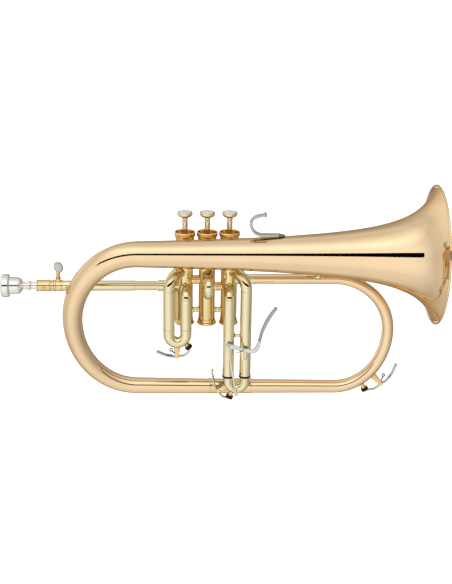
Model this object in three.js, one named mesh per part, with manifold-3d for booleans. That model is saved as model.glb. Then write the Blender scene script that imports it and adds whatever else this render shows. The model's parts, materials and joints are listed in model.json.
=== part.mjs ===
// A B-flat flugelhorn: three piston valves, a clamp-tuned leadpipe, three slides, a third-slide trigger,
// three water keys and a wide bell. Millimetres.
// +X points out of the bell, +Z up along the valves, and -Y to the side of the slides.
// The origin is on the middle valve's axis, at the height of the leadpipe.

import * as THREE from 'three';
import { mergeVertices } from 'three/addons/utils/BufferGeometryUtils.js';
import Module from 'manifold-3d';

const wasm = await Module();
wasm.setup();

// ---- Driving dimensions ----

const GAP = 0.3; // left between pieces that touch on the real instrument

const BELL = {
  y: -30, z: 46, rimX: 248, rimRadius: 76, flare: 0.555, flareLength: 16.5, tailX: -75.6, wall: 0.9,
  neckEnd: 228,
};
const BOW_WALL = 0.7;
const LEFT_BOW = { farX: -148.5, midY: -16, midZ: -35.5, endX: -78.2, midRadius: 10.9, endRadius: 9.1 };
const LOWER = { y: -2, leftZ: -119.8, rightZ: -121.8, sleeveStart: 2.9, sleeveEnd: 52.2, sleeveRadius: 8.5 };
const RIGHT_BOW = {
  farX: 205.4, midY: -1, midZ: -53, lowX: 147.2, highX: 141.8,
  startRadius: 7.95, lowRadius: 7.4, midRadius: 6.7, highRadius: 5.8, endRadius: 5.6,
};
const EXIT = { z: 7.9, ferruleEnd: 54.3, ferruleRadius: 6 };

const VALVE = {
  pitch: 24.5, radius: 9.1, bore: 8.5, bottom: -41, top: 52, stroke: 16.5,
  pistonRadius: 8.2, pistonBottom: -20, pistonTop: 49, passage: 4.2, capUnderside: -44.6, capRim: 63,
  stemRadius: 3.2, stemBottom: 40, buttonBottom: 79, buttonRadius: 8.6, buttonTop: 84.4, pearlRadius: 6.8,
  bottomCapRadius: 10.8, topCapRadius: 11.5,
};
const PISTON = { seat: 8, chamberZ: 22, chamberRadius: 7.4, skirtBore: 6.5, lid: 2, stemHole: 3.6, lift: 4 };
const SPRING = { radius: 5, wire: 0.6, turns: 6, steps: 30 };
const PORT = { root: 5, reach: 12 }; // how far from a casing's axis a tube starts and a port is drilled
const TRANSFER = {
  radius: 4.9, bore: 4.2, firstZ: 7.3, secondZ: -0.6, braceZ: -28.1, braceRadius: 3.7, neck: 3.2,
};

const LEADPIPE = { radius: 5.75, bore: 5.15, collarStart: -168.6, collarEnd: -159.8, collarRadius: 6.6 };
const LEAD_FERRULE = { start: -54.2, radius: 6.35 };
const TUNING = {
  start: -188.1, receiverEnd: -173.4, ringEnd: -169, pipeEnd: -95, pipeRadius: 4.8, bore: 4.3, receiver: 6.6,
  ring: 6.9, socket: 5,
};
const CLAMP = {
  lugBore: 1.9, lugRadius: 3, lugHeight: 2.6, paddleZ: 21.6, paddleWidth: 4.9, paddleHeight: 6.9,
};
const MOUTHPIECE = { face: -227, end: -172, rimRadius: 13.2 };

const SLIDE = { y: -20, pitch: 18.8, outer: 6.35, outerBore: 5.9, inner: 5.6, bore: 4.9 };
const ELBOW = { outerZ: 17.7, outerBend: 17, innerZ: -1, innerBend: 10 };
const FIRST = { nearX: -23.4, tubeEnd: -44.4, legTop: -12, bowZ: -50.45 };
const THIRD = {
  nearX: 24.5, tubeEnd: -99.3, legTop: -40, bowZ: -106.5, braceZ: -51.6, braceRadius: 2, bumperRadius: 7,
  bumperLength: 2.2,
};
const SECOND = { x: 1.2, highZ: 15.2, lowZ: -1.4, tubeEnd: -20, frontY: -38, legEnd: -9.7 };

// Water keys. Places are [x, z]; an angle is measured from straight down, positive towards +X.
const KEY = {
  halfWidth: 2, halfThickness: 0.6, barrelRadius: 1.7, barrelHalf: 3.2, cupRadius: 4.3, cupHalf: 1.5,
  nippleRadius: 3, nippleGap: 0.8,
};
const FIRST_KEY = {
  foot: [-22.6, -62.5], angle: 0.7, depth: 1.2, padAt: 4.1, pivot: [-33, -76.1],
  post: [[-33, -64], [-33, -74]],
  lever: [
    [-55.8, -70.5], [-45.5, -75.2], [-38, -76.8], [-33, -76.4], [-25.3, -75.5], [-20.6, -71.8], [-19.2, -66.9],
  ],
};
const THIRD_KEY = {
  foot: [28.3, -120.4], angle: -0.38, depth: 1.2, padAt: 6.2, pivot: [13.6, -118],
  post: [[24.5, -112], [15.9, -116.6]],
  lever: [[6.7, -93.1], [6.6, -99.5], [9.6, -112.4], [13.2, -119.2], [18.5, -125.8], [25.3, -128]],
};
const BOW_KEY = {
  y: -1.5, foot: [180.3, -120.8], angle: 0.51, depth: 5.5, padAt: 5.3, pivot: [200.8, -118.4],
  post: [[190.5, -107.5], [199.2, -116.6]],
  lever: [[217.4, -94.5], [213.2, -106.5], [207, -114.8], [201.2, -119.3], [194, -125], [184.8, -126.7]],
};

const TRIGGER = {
  pivot: [42.8, -65.9], y: -30.4, half: 1, armEnd: [23.1, -59.9], elbow: [46, -65.4],
  finger: [
    [51.4, -66.7], [55.8, -62.2], [58.2, -53.8], [60.4, -43.9], [64.5, -33.6], [69.7, -23.8], [74.8, -16.6],
  ],
  saddleThickness: 1.2, bossRadius: 2.4, pinRadius: 1.2, holeRadius: 1.5,
};
const LINK = { foot: [33, -117.5], half: 1, eyeBore: 1.4, eyeRadius: 2.6, studRadius: 1 };

const LEADPIPE_BRACE = { x: -147, z: 0.5, radius: 2.4 };
const BELL_BRACE = { x: 123.5, radius: 2.6, halfLength: 12, halfWidth: 5, thickness: 0.9 };
const VALVE_BRACE = { z: 42, radius: 3.4 };
const HOOK = {
  footFrom: 80, footTo: 53,
  loop: [[47.6, 72.6], [45.1, 78.8], [46, 83.9], [49.4, 87.6], [54.5, 89.3], [61.8, 91.1]],
  toe: [1.6, 0.6], heel: [5.2, 0.9], tip: [3.6, 1.1],
};

const FLARE = 24; // sides of the bell
const ROUND = 16; // sides of the valves
const PIPE = 12; // sides of the main tubes
const THIN = 8; // sides of the small rods
const BEND_STEPS = 6; // stations of a large bow's quarter turn
const ELBOW_STEPS = 4; // stations of a small one's

// ---- Geometry helpers ----

const at = (x, y, z) => new THREE.Vector3(x, y, z);

// Merges equal corners and drops the triangles that a corner on the axis flattens.
function closed(geometry) {
  const bare = new THREE.BufferGeometry();
  bare.setAttribute('position', geometry.getAttribute('position').clone());
  bare.setIndex(geometry.index ? geometry.index.clone() : null);
  const merged = mergeVertices(bare, 1e-4);
  const corners = merged.index.array;
  const kept = [];
  for (let i = 0; i < corners.length; i += 3) {
    const [a, b, c] = corners.slice(i, i + 3);
    if (a !== b && b !== c && c !== a) kept.push(a, b, c);
  }
  merged.setIndex(kept);
  return merged;
}

function toManifold(geometry) {
  const mesh = closed(geometry);
  const solid = new wasm.Manifold(new wasm.Mesh({
    numProp: 3,
    vertProperties: mesh.attributes.position.array,
    triVerts: new Uint32Array(mesh.index.array),
  }));
  if (solid.volume() > 0) return solid;
  const flipped = mesh.index.array.slice().reverse();
  return new wasm.Manifold(new wasm.Mesh({
    numProp: 3,
    vertProperties: mesh.attributes.position.array,
    triVerts: new Uint32Array(flipped),
  }));
}

function fromManifold(solid) {
  const mesh = solid.getMesh();
  const geometry = new THREE.BufferGeometry();
  geometry.setAttribute('position', new THREE.BufferAttribute(new Float32Array(mesh.vertProperties), 3));
  geometry.setIndex(new THREE.BufferAttribute(mesh.triVerts, 1));
  return geometry;
}

const outward = (geometry) => fromManifold(toManifold(geometry));
const join = (first, ...rest) => fromManifold(
  rest.reduce((sum, piece) => sum.add(toManifold(piece)), toManifold(first)));
const cut = (first, ...rest) => fromManifold(
  rest.reduce((left, piece) => left.subtract(toManifold(piece)), toManifold(first)));
const common = (first, second) => fromManifold(toManifold(first).intersect(toManifold(second)));

// A turned piece: the profile's points are [radius, distance along the axis].
function turned(profile, axis, sides = PIPE) {
  const geometry = new THREE.LatheGeometry(profile.map(([r, h]) => new THREE.Vector2(r, h)), sides);
  if (axis === 'x') geometry.rotateZ(-Math.PI / 2);
  if (axis === 'z') geometry.rotateX(Math.PI / 2);
  return outward(geometry);
}

// A ring of rectangular section.
const ring = (bore, radius, from, to, axis, sides) => turned(
  [[bore, from], [radius, from], [radius, to], [bore, to], [bore, from]], axis, sides);

const circle = (sides) => Array.from({ length: sides }, (_, i) => {
  const angle = 2 * Math.PI * i / sides;
  return [Math.cos(angle), Math.sin(angle)];
});
const SQUARE = [[1, 1], [-1, 1], [-1, -1], [1, -1]];

const straight = (from, to) => new THREE.LineCurve3(from, to);

// A quarter turn from one point to another round the corner where their two directions meet.
const ROUND_PULL = 0.5523;
const quarter = (from, corner, to, pull = ROUND_PULL) => new THREE.CubicBezierCurve3(
  from, from.clone().lerp(corner, pull), to.clone().lerp(corner, pull), to);

// The stations of a route. Each leg is [curve, steps, size at its start, size at its end].
function stations(legs) {
  const result = [];
  legs.forEach(([curve, steps, first, last]) => {
    for (let i = 0; i <= steps; i += 1) {
      const t = i / steps;
      const size = first.map((value, k) => value + (last[k] - value) * t);
      const before = result[result.length - 1];
      const repeats = before && i === 0 && before.size.every((value, k) => Math.abs(value - size[k]) < 1e-6);
      if (!repeats) result.push({ place: curve.getPoint(t), along: curve.getTangent(t).normalize(), size });
    }
  });
  return result;
}

// Sweeps a section along stations. A station's size is [half width, half height] or [radius, radius, bore];
// the width lies along the side vector, which is carried along without twist.
function swept(legs, section, side = at(0, 1, 0)) {
  const rings = stations(legs);
  const hollow = rings[0].size.length > 2;
  const count = section.length;
  const points = [];
  const faces = [];
  let across = side.clone();
  let before = rings[0].along;
  rings.forEach(({ place, along, size }) => {
    across.applyQuaternion(new THREE.Quaternion().setFromUnitVectors(before, along));
    across.addScaledVector(along, -across.dot(along)).normalize();
    before = along;
    const up = along.clone().cross(across);
    const loop = (wide, high) => section.forEach(([u, v]) => points.push(
      place.clone().addScaledVector(across, u * wide).addScaledVector(up, v * high)));
    loop(size[0], size[1]);
    if (hollow) loop(size[2], size[2]);
  });
  const stride = hollow ? 2 * count : count;
  const quad = (a, b, c, d) => faces.push(a, b, c, a, c, d);
  for (let r = 0; r + 1 < rings.length; r += 1) {
    for (let i = 0; i < count; i += 1) {
      const j = (i + 1) % count;
      const here = r * stride;
      const next = here + stride;
      quad(here + i, here + j, next + j, next + i);
      if (hollow) quad(here + count + j, here + count + i, next + count + i, next + count + j);
    }
  }
  const last = (rings.length - 1) * stride;
  for (let i = 0; i < count; i += 1) {
    const j = (i + 1) % count;
    if (hollow) {
      quad(j, i, count + i, count + j);
      quad(last + i, last + j, last + count + j, last + count + i);
    } else if (i > 0 && j > 0) {
      faces.push(0, j, i, last, last + i, last + j);
    }
  }
  const geometry = new THREE.BufferGeometry();
  geometry.setAttribute('position', new THREE.Float32BufferAttribute(points.flatMap((p) => p.toArray()), 3));
  geometry.setIndex(faces);
  return outward(geometry);
}

const pipe = (radius, bore) => [radius, radius, bore];
const solidRound = (radius) => [radius, radius];
function rod(from, to, radius, sides = THIN) {
  const alongY = Math.abs(to.clone().sub(from).normalize().y);
  const side = alongY > 0.8 ? at(1, 0, 0) : at(0, 1, 0);
  return swept([[straight(from, to), 1, solidRound(radius), solidRound(radius)]], circle(sides), side);
}

function block(width, depth, height, centre) {
  return new THREE.BoxGeometry(width, depth, height).toNonIndexed().translate(...centre);
}

// ---- Materials ----

const finish = (color, roughness, metalness) => new THREE.MeshStandardMaterial({ color, roughness, metalness });
const ROSE_BRASS = finish('#d9a57c', 0.12, 1);
const YELLOW_BRASS = finish('#dcb96c', 0.14, 1);
const NICKEL = finish('#c9c6bf', 0.2, 1);
const SILVER = finish('#e2e0dc', 0.1, 1);
const STEEL = finish('#8d9094', 0.35, 1);
const MONEL = finish('#b9b6ae', 0.3, 1);
const RUBBER = finish('#141312', 0.8, 0);
const PEARL = finish('#efece6', 0.25, 0);

const flugelhorn = new THREE.Group();
flugelhorn.name = 'flugelhorn';

function add(name, geometry, material) {
  const mesh = new THREE.Mesh(geometry, material);
  mesh.name = name;
  flugelhorn.add(mesh);
}

// ---- Envelopes: what the soldered pieces are trimmed to ----

const valveX = (number) => (number - 2) * VALVE.pitch;
const bellRadius = (x) => BELL.rimRadius * (1 + (BELL.rimX - x) / BELL.flareLength) ** -BELL.flare;
const lowerZ = (x) => {
  const share = (x - LEFT_BOW.endX) / (RIGHT_BOW.lowX - LEFT_BOW.endX);
  return LOWER.leftZ + (LOWER.rightZ - LOWER.leftZ) * share;
};
const lowerPoint = (x) => at(x, LOWER.y, lowerZ(x));

const casingEnvelope = (number) => rod(
  at(valveX(number), 0, VALVE.bottom), at(valveX(number), 0, VALVE.top), VALVE.radius + GAP, ROUND);

// The bell's profile, with its points closer together towards the rim.
const CROWDING = 0.45;
const bellOutline = (from, to, steps, offset) => Array.from({ length: steps + 1 }, (_, i) => {
  const share = (i / steps) ** CROWDING;
  const x = from + (to - from) * share;
  return [bellRadius(x) + offset(x), x];
});

function bellSlope(x) {
  const step = 0.01;
  return (bellRadius(x) - bellRadius(x - step)) / step;
}

const placeBell = (geometry) => geometry.translate(0, BELL.y, BELL.z);
const bellEnvelope = placeBell(turned(
  [[0, BELL.tailX], ...bellOutline(BELL.tailX, BELL.neckEnd, 10, () => GAP), [0, BELL.neckEnd]], 'x', FLARE));

// ---- Bell, bows and lower tube ----

function makeBell() {
  const steps = 11;
  const outer = bellOutline(BELL.tailX + GAP, BELL.rimX, steps, () => 0);
  const inner = bellOutline(BELL.tailX + GAP, BELL.rimX, steps, (x) => -BELL.wall * Math.hypot(1, bellSlope(x)));
  add('bell', placeBell(turned([...outer, ...inner.reverse(), outer[0]], 'x', FLARE)), ROSE_BRASS);
}

function leftBowLegs(grow, thickness) {
  const top = at(BELL.tailX, BELL.y, BELL.z);
  const middle = at(LEFT_BOW.farX, LEFT_BOW.midY, LEFT_BOW.midZ);
  const bottom = lowerPoint(LEFT_BOW.endX);
  const size = (radius) => (thickness ? pipe(radius, radius - thickness) : solidRound(radius + grow));
  const topRadius = bellRadius(BELL.tailX);
  const endRadius = LOWER.sleeveRadius - 0.1;
  return [
    [
      quarter(top, at(LEFT_BOW.farX, BELL.y, BELL.z), middle), BEND_STEPS,
      size(topRadius), size(LEFT_BOW.midRadius),
    ],
    [quarter(middle, at(LEFT_BOW.farX, LOWER.y, LOWER.leftZ), bottom), BEND_STEPS,
      size(LEFT_BOW.midRadius), size(LEFT_BOW.endRadius)],
    [straight(bottom, lowerPoint(LOWER.sleeveStart - GAP)), 1, size(LEFT_BOW.endRadius), size(endRadius)],
  ];
}
const bowEnvelope = swept(leftBowLegs(GAP), circle(PIPE));

function makeBows() {
  const size = (radius) => pipe(radius, radius - BOW_WALL);
  add('bell_bow', swept(leftBowLegs(0, BOW_WALL), circle(PIPE)), ROSE_BRASS);
  const sleeve = size(LOWER.sleeveRadius);
  add('tail_sleeve', swept(
    [[straight(lowerPoint(LOWER.sleeveStart), lowerPoint(LOWER.sleeveEnd)), 1, sleeve, sleeve]],
    circle(PIPE)), YELLOW_BRASS);
  const low = lowerPoint(RIGHT_BOW.lowX);
  const middle = at(RIGHT_BOW.farX, RIGHT_BOW.midY, RIGHT_BOW.midZ);
  const high = at(RIGHT_BOW.highX, 0, EXIT.z);
  add('right_bow', swept([
    [
      straight(lowerPoint(LOWER.sleeveEnd + GAP), low), 1,
      size(RIGHT_BOW.startRadius), size(RIGHT_BOW.lowRadius),
    ],
    [quarter(low, at(RIGHT_BOW.farX, LOWER.y, LOWER.rightZ), middle), BEND_STEPS,
      size(RIGHT_BOW.lowRadius), size(RIGHT_BOW.midRadius)],
    [quarter(middle, at(RIGHT_BOW.farX, 0, EXIT.z), high), BEND_STEPS,
      size(RIGHT_BOW.midRadius), size(RIGHT_BOW.highRadius)],
    [
      straight(high, at(EXIT.ferruleEnd + GAP, 0, EXIT.z)), 1,
      size(RIGHT_BOW.highRadius), size(RIGHT_BOW.endRadius),
    ],
  ], circle(PIPE)), ROSE_BRASS);
  const start = valveX(3) + VALVE.bore;
  const ferrule = ring(RIGHT_BOW.endRadius - BOW_WALL, EXIT.ferruleRadius, start, EXIT.ferruleEnd, 'x');
  ferrule.translate(0, 0, EXIT.z);
  add('exit_ferrule', cut(ferrule, casingEnvelope(3)), YELLOW_BRASS);
}

// ---- Mouthpiece and leadpipe ----

function makeMouthpiece() {
  const { face, end, rimRadius } = MOUTHPIECE;
  const outside = [
    [8.3, face + 1], [10.8, face], [12.8, face + 1.2], [rimRadius, face + 3], [rimRadius, face + 8.2],
    [12.3, face + 9.4], [9.6, face + 9.6], [9.4, face + 17], [7.2, face + 21.3], [4.2, face + 23.4],
    [3.6, face + 25], [3.7, face + 30], [4.9, face + 31.3], [4.9, face + 32.7], [3.9, face + 34],
    [4.7, TUNING.start], [4.2, end],
  ];
  const inside = [
    [3.4, end], [2.1, face + 28], [2.1, face + 22], [5.4, face + 16.5], [7.6, face + 10], [8.3, face + 1],
  ];
  add('mouthpiece', turned([...outside, ...inside], 'x'), SILVER);
}

function makeTuningPipe() {
  const { start, receiverEnd, ringEnd, pipeEnd, pipeRadius, bore, receiver, socket } = TUNING;
  const socketEnd = MOUTHPIECE.end + 1;
  add('tuning_pipe', turned([
    [socket, start], [receiver, start], [receiver, receiverEnd], [TUNING.ring, receiverEnd + 0.4],
    [TUNING.ring, ringEnd - GAP], [pipeRadius, ringEnd - GAP], [pipeRadius, pipeEnd], [bore, pipeEnd],
    [bore, socketEnd], [socket, socketEnd], [socket, start],
  ], 'x'), YELLOW_BRASS);
}

function makeLeadpipe() {
  const { radius, bore, collarStart, collarEnd, collarRadius } = LEADPIPE;
  const end = LEAD_FERRULE.start - GAP;
  const tube = turned([
    [bore, collarStart], [collarRadius, collarStart], [collarRadius, collarEnd], [radius, collarEnd],
    [radius, end], [bore, end], [bore, collarStart],
  ], 'x');
  const lugX = (collarStart + collarEnd) / 2;
  const lug = ring(CLAMP.lugBore, CLAMP.lugRadius, collarRadius - 1, collarRadius + CLAMP.lugHeight, 'z', THIN);
  lug.translate(lugX, 0, 0);
  add('leadpipe', join(tube, lug), YELLOW_BRASS);
  const ferrule = ring(bore, LEAD_FERRULE.radius, LEAD_FERRULE.start, valveX(1) - VALVE.bore, 'x');
  add('leadpipe_ferrule', cut(ferrule, casingEnvelope(1)), YELLOW_BRASS);
}

// The thumbscrew: a threaded shank under an oval paddle.
function makeClampScrew() {
  const x = (LEADPIPE.collarStart + LEADPIPE.collarEnd) / 2;
  const { paddleZ, paddleWidth, paddleHeight, lugHeight } = CLAMP;
  const tilt = -0.25;
  const paddle = new THREE.CylinderGeometry(1, 1, 1.6, 14).scale(paddleWidth, 1, paddleHeight);
  paddle.rotateY(tilt).translate(x + 0.6, 0, paddleZ);
  const collarTop = LEADPIPE.collarRadius + GAP;
  const lugTop = LEADPIPE.collarRadius + lugHeight + GAP;
  const neck = rod(at(x, 0, collarTop), at(x, 0, paddleZ - 5), 1.6);
  const knuckle = rod(at(x, 0, lugTop), at(x, 0, lugTop + 2.2), 2.6);
  add('clamp_screw', join(neck, knuckle, paddle), NICKEL);
}

// ---- Valves ----

// Where each tube meets its casing: the height and the direction in which it leaves.
const farX = (nearX) => nearX + Math.sign(nearX) * SLIDE.pitch;
const legDirection = (number, nearX) => at(farX(nearX) - valveX(number), SLIDE.y, 0).normalize();
const FRONT = at(0, -1, 0);
const LEFT = at(-1, 0, 0);
const RIGHT = at(1, 0, 0);
const PORTS = {
  1: [
    [LEFT, 0], [RIGHT, TRANSFER.firstZ],
    [legDirection(1, FIRST.nearX), ELBOW.outerZ], [FRONT, ELBOW.innerZ],
  ],
  2: [[LEFT, TRANSFER.firstZ], [RIGHT, TRANSFER.secondZ], [FRONT, SECOND.highZ], [FRONT, SECOND.lowZ]],
  3: [
    [LEFT, TRANSFER.secondZ], [RIGHT, EXIT.z],
    [legDirection(3, THIRD.nearX), ELBOW.outerZ], [FRONT, ELBOW.innerZ],
  ],
};

function drill(number, from, to) {
  return rod(from.clone().setX(from.x + valveX(number)), to.clone().setX(to.x + valveX(number)),
    VALVE.passage, THIN);
}

const portPoint = ([direction, z], distance, lift) => direction.clone().multiplyScalar(distance).setZ(z + lift);

function makeCasing(number) {
  const shell = ring(VALVE.bore, VALVE.radius, VALVE.bottom, VALVE.top, 'z', ROUND);
  shell.translate(valveX(number), 0, 0);
  const holes = PORTS[number].map(
    (port) => drill(number, portPoint(port, PORT.root, 0), portPoint(port, PORT.reach, 0)));
  add(`casing_${number}`, cut(shell, ...holes), YELLOW_BRASS);
}

// The piston lets the air straight through at rest, and sends it round the slide when it is down.
function makePiston(number) {
  const { pistonRadius, pistonBottom, pistonTop, stroke } = VALVE;
  const { seat, chamberZ, chamberRadius, skirtBore, lid, stemHole, lift } = PISTON;
  const seatZ = pistonBottom + seat;
  const lidZ = pistonTop - lid;
  const body = turned([
    [0, seatZ], [skirtBore, seatZ], [skirtBore, pistonBottom], [pistonRadius, pistonBottom],
    [pistonRadius, pistonTop], [stemHole, pistonTop], [stemHole, lidZ], [chamberRadius, lidZ],
    [chamberRadius, chamberZ], [0, chamberZ],
  ], 'z', ROUND).translate(valveX(number), 0, 0);
  const [inlet, outlet, slideOut, slideBack] = PORTS[number];
  const end = (port, height) => portPoint(port, PORT.reach, height);
  const through = drill(number, end(inlet, 0), end(outlet, 0));
  const away = drill(number, end(inlet, stroke), end(slideBack, stroke));
  const back = drill(number, end(outlet, stroke + lift), end(slideOut, stroke));
  add(`piston_${number}`, cut(body, through, away, back), MONEL);
}

function makeCaps(number) {
  const x = valveX(number);
  const { radius, top, capRim, capUnderside, bottom, topCapRadius, bottomCapRadius } = VALVE;
  const skirt = radius + GAP;
  const skirtZ = top - 5;
  const web = top + GAP;
  const floor = web + 3.4;
  const cup = VALVE.buttonRadius + 0.7;
  const stemHole = VALVE.stemRadius + 0.5;
  add(`top_cap_${number}`, turned([
    [skirt, skirtZ], [radius + 1.2, skirtZ], [radius + 1.2, top + 2], [topCapRadius, capRim - 4.5],
    [topCapRadius, capRim - 1], [topCapRadius - 0.5, capRim], [cup + 0.5, capRim], [cup, floor],
    [stemHole, floor], [stemHole, web], [skirt, web], [skirt, skirtZ],
  ], 'z', ROUND).translate(x, 0, 0), YELLOW_BRASS);
  const collarZ = bottom + 3;
  add(`bottom_cap_${number}`, turned([
    [0, capUnderside], [bottomCapRadius, capUnderside], [bottomCapRadius, capUnderside + 2.2],
    [radius + 1, capUnderside + 3.2], [radius + 1, collarZ], [skirt, collarZ], [skirt, bottom - GAP],
    [0, bottom - GAP],
  ], 'z', ROUND).translate(x, 0, 0), YELLOW_BRASS);
}

class Helix extends THREE.Curve {
  constructor(centre, radius, from, to, turns) {
    super();
    Object.assign(this, { centre, radius, from, to, turns });
  }

  getPoint(t, target = new THREE.Vector3()) {
    const angle = 2 * Math.PI * this.turns * t;
    const z = this.from + (this.to - this.from) * t;
    return target.set(this.centre + this.radius * Math.cos(angle), this.radius * Math.sin(angle), z);
  }
}

function makeSpring(number) {
  const { radius, wire, turns, steps } = SPRING;
  const bottom = VALVE.bottom + wire;
  const top = VALVE.pistonBottom + PISTON.seat - wire - GAP;
  const coil = new Helix(valveX(number), radius, bottom, top, turns);
  const size = solidRound(wire);
  add(`valve_spring_${number}`, swept([[coil, steps, size, size]], circle(3), at(1, 0, 0)), STEEL);
}

function makeFingerPiece(number) {
  const x = valveX(number);
  const { stemRadius, stemBottom, buttonBottom, buttonRadius, buttonTop, pearlRadius } = VALVE;
  const stem = rod(at(x, 0, stemBottom), at(x, 0, buttonBottom - GAP), stemRadius, PIPE);
  add(`stem_${number}`, stem, YELLOW_BRASS);
  const cup = pearlRadius + GAP;
  add(`button_${number}`, turned([
    [0, buttonBottom], [stemRadius + 0.6, buttonBottom], [buttonRadius - 1, buttonBottom + 1.4],
    [buttonRadius, buttonBottom + 3.4], [buttonRadius - 0.3, buttonTop + 0.4], [cup, buttonTop + 0.8],
    [cup, buttonTop], [0, buttonTop],
  ], 'z', ROUND).translate(x, 0, 0), YELLOW_BRASS);
  add(`pearl_${number}`, turned([
    [0, buttonTop + GAP], [pearlRadius, buttonTop + GAP], [pearlRadius, buttonTop + 0.9], [0, buttonTop + 1.3],
  ], 'z', ROUND).translate(x, 0, 0), PEARL);
}

function makeValveLinks() {
  const { radius, bore, firstZ, secondZ, braceZ, braceRadius, neck } = TRANSFER;
  [[1, firstZ], [2, secondZ]].forEach(([number, z]) => {
    const left = valveX(number) + PORT.root;
    const right = valveX(number + 1) - PORT.root;
    const trims = [casingEnvelope(number), casingEnvelope(number + 1)];
    const tube = ring(bore, radius, left, right, 'x').translate(0, 0, z);
    add(`transfer_tube_${number}${number + 1}`, cut(tube, ...trims), YELLOW_BRASS);
    const middle = (left + right) / 2;
    const brace = turned([
      [0, left], [neck, left], [neck, middle - 1.6], [braceRadius, middle - 0.8],
      [braceRadius, middle + 0.8], [neck, middle + 1.6], [neck, right], [0, right],
    ], 'x').translate(0, 0, braceZ);
    add(`casing_brace_${number}${number + 1}`, cut(brace, ...trims), YELLOW_BRASS);
  });
}

// ---- Slides ----

// An outer tube: out of the casing, round an elbow and straight down.
function elbowTube(number, legX, z, radius, end) {
  const axis = at(valveX(number), 0, z);
  const corner = at(legX, SLIDE.y, z);
  const out = corner.clone().sub(axis).normalize();
  const bendStart = corner.clone().addScaledVector(out, -radius);
  const bendEnd = corner.clone().setZ(z - radius);
  const size = pipe(SLIDE.outer, SLIDE.outerBore);
  const inner = axis.clone().addScaledVector(out, PORT.root);
  const side = out.clone().cross(at(0, 0, 1));
  const tube = swept([
    [straight(inner, bendStart), 1, size, size],
    [quarter(bendStart, corner, bendEnd), ELBOW_STEPS, size, size],
    [straight(bendEnd, at(legX, SLIDE.y, end)), 1, size, size],
  ], circle(PIPE), side);
  return cut(tube, casingEnvelope(number));
}

// A sliding bow: two legs down and a half turn between them. Its legs swell to the outer size at stepZ.
function slideBow(nearX, farX, legTop, bowZ, stepZ) {
  const bend = Math.abs(farX - nearX) / 2;
  const middle = (nearX + farX) / 2;
  const low = bowZ - bend;
  const thin = pipe(SLIDE.inner, SLIDE.bore);
  const wide = stepZ ? pipe(SLIDE.outer, SLIDE.bore) : thin;
  const point = (x, z) => at(x, SLIDE.y, z);
  const step = stepZ ?? bowZ + 1;
  return swept([
    [straight(point(nearX, legTop), point(nearX, step)), 1, thin, thin],
    [straight(point(nearX, step), point(nearX, bowZ)), 1, wide, wide],
    [quarter(point(nearX, bowZ), point(nearX, low), point(middle, low)), ELBOW_STEPS, wide, wide],
    [quarter(point(middle, low), point(farX, low), point(farX, bowZ)), ELBOW_STEPS, wide, wide],
    [straight(point(farX, bowZ), point(farX, step)), 1, wide, wide],
    [straight(point(farX, step), point(farX, legTop)), 1, thin, thin],
  ], circle(PIPE));
}

const linkY = TRIGGER.y - TRIGGER.half - GAP - LINK.half - 0.1; // the plane of the link rod

// The way out at an angle from straight down, positive towards +X.
const outAt = (angle) => at(Math.sin(angle), 0, -Math.cos(angle));

// A water key's seat on its tube: the nipple that the pad closes and the post that carries the hinge.
function keySeat({ foot, angle, depth, padAt, post }, y) {
  const place = ([x, z]) => at(x, y, z);
  const way = outAt(angle);
  const rise = padAt - KEY.cupHalf - KEY.nippleGap;
  const nipple = rod(place(foot).addScaledVector(way, -depth), place(foot).addScaledVector(way, rise),
    KEY.nippleRadius);
  const ears = swept([[straight(...post.map(place)), 1, [2.6, 3], [2.2, 2.4]]], SQUARE);
  return [nipple, ears];
}

// A water key: a sprung lever with a hinge barrel in its middle and a pad cup on its short arm.
function waterKey({ foot, angle, padAt, pivot, lever }, y) {
  const place = ([x, z]) => at(x, y, z);
  const size = [KEY.halfWidth, KEY.halfThickness];
  const blade = swept([[new THREE.CatmullRomCurve3(lever.map(place)), 8, size, size]], SQUARE);
  const hinge = place(pivot);
  const reach = at(0, KEY.barrelHalf, 0);
  const barrel = rod(hinge.clone().sub(reach), hinge.clone().add(reach), KEY.barrelRadius);
  const way = outAt(angle);
  const cup = rod(place(foot).addScaledVector(way, padAt - KEY.cupHalf),
    place(foot).addScaledVector(way, padAt + KEY.cupHalf), KEY.cupRadius, PIPE);
  return join(blade, barrel, cup);
}

function makeFirstSlide() {
  const near = FIRST.nearX;
  const far = farX(near);
  const tubeEnd = FIRST.tubeEnd + GAP;
  add('first_tube_inner', elbowTube(1, near, ELBOW.innerZ, ELBOW.innerBend, tubeEnd), YELLOW_BRASS);
  add('first_tube_outer', elbowTube(1, far, ELBOW.outerZ, ELBOW.outerBend, tubeEnd), YELLOW_BRASS);
  const bow = slideBow(near, far, FIRST.legTop, FIRST.bowZ, FIRST.tubeEnd);
  add('first_slide', join(bow, ...keySeat(FIRST_KEY, SLIDE.y)), YELLOW_BRASS);
  add('first_water_key', waterKey(FIRST_KEY, SLIDE.y), NICKEL);
}

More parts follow.
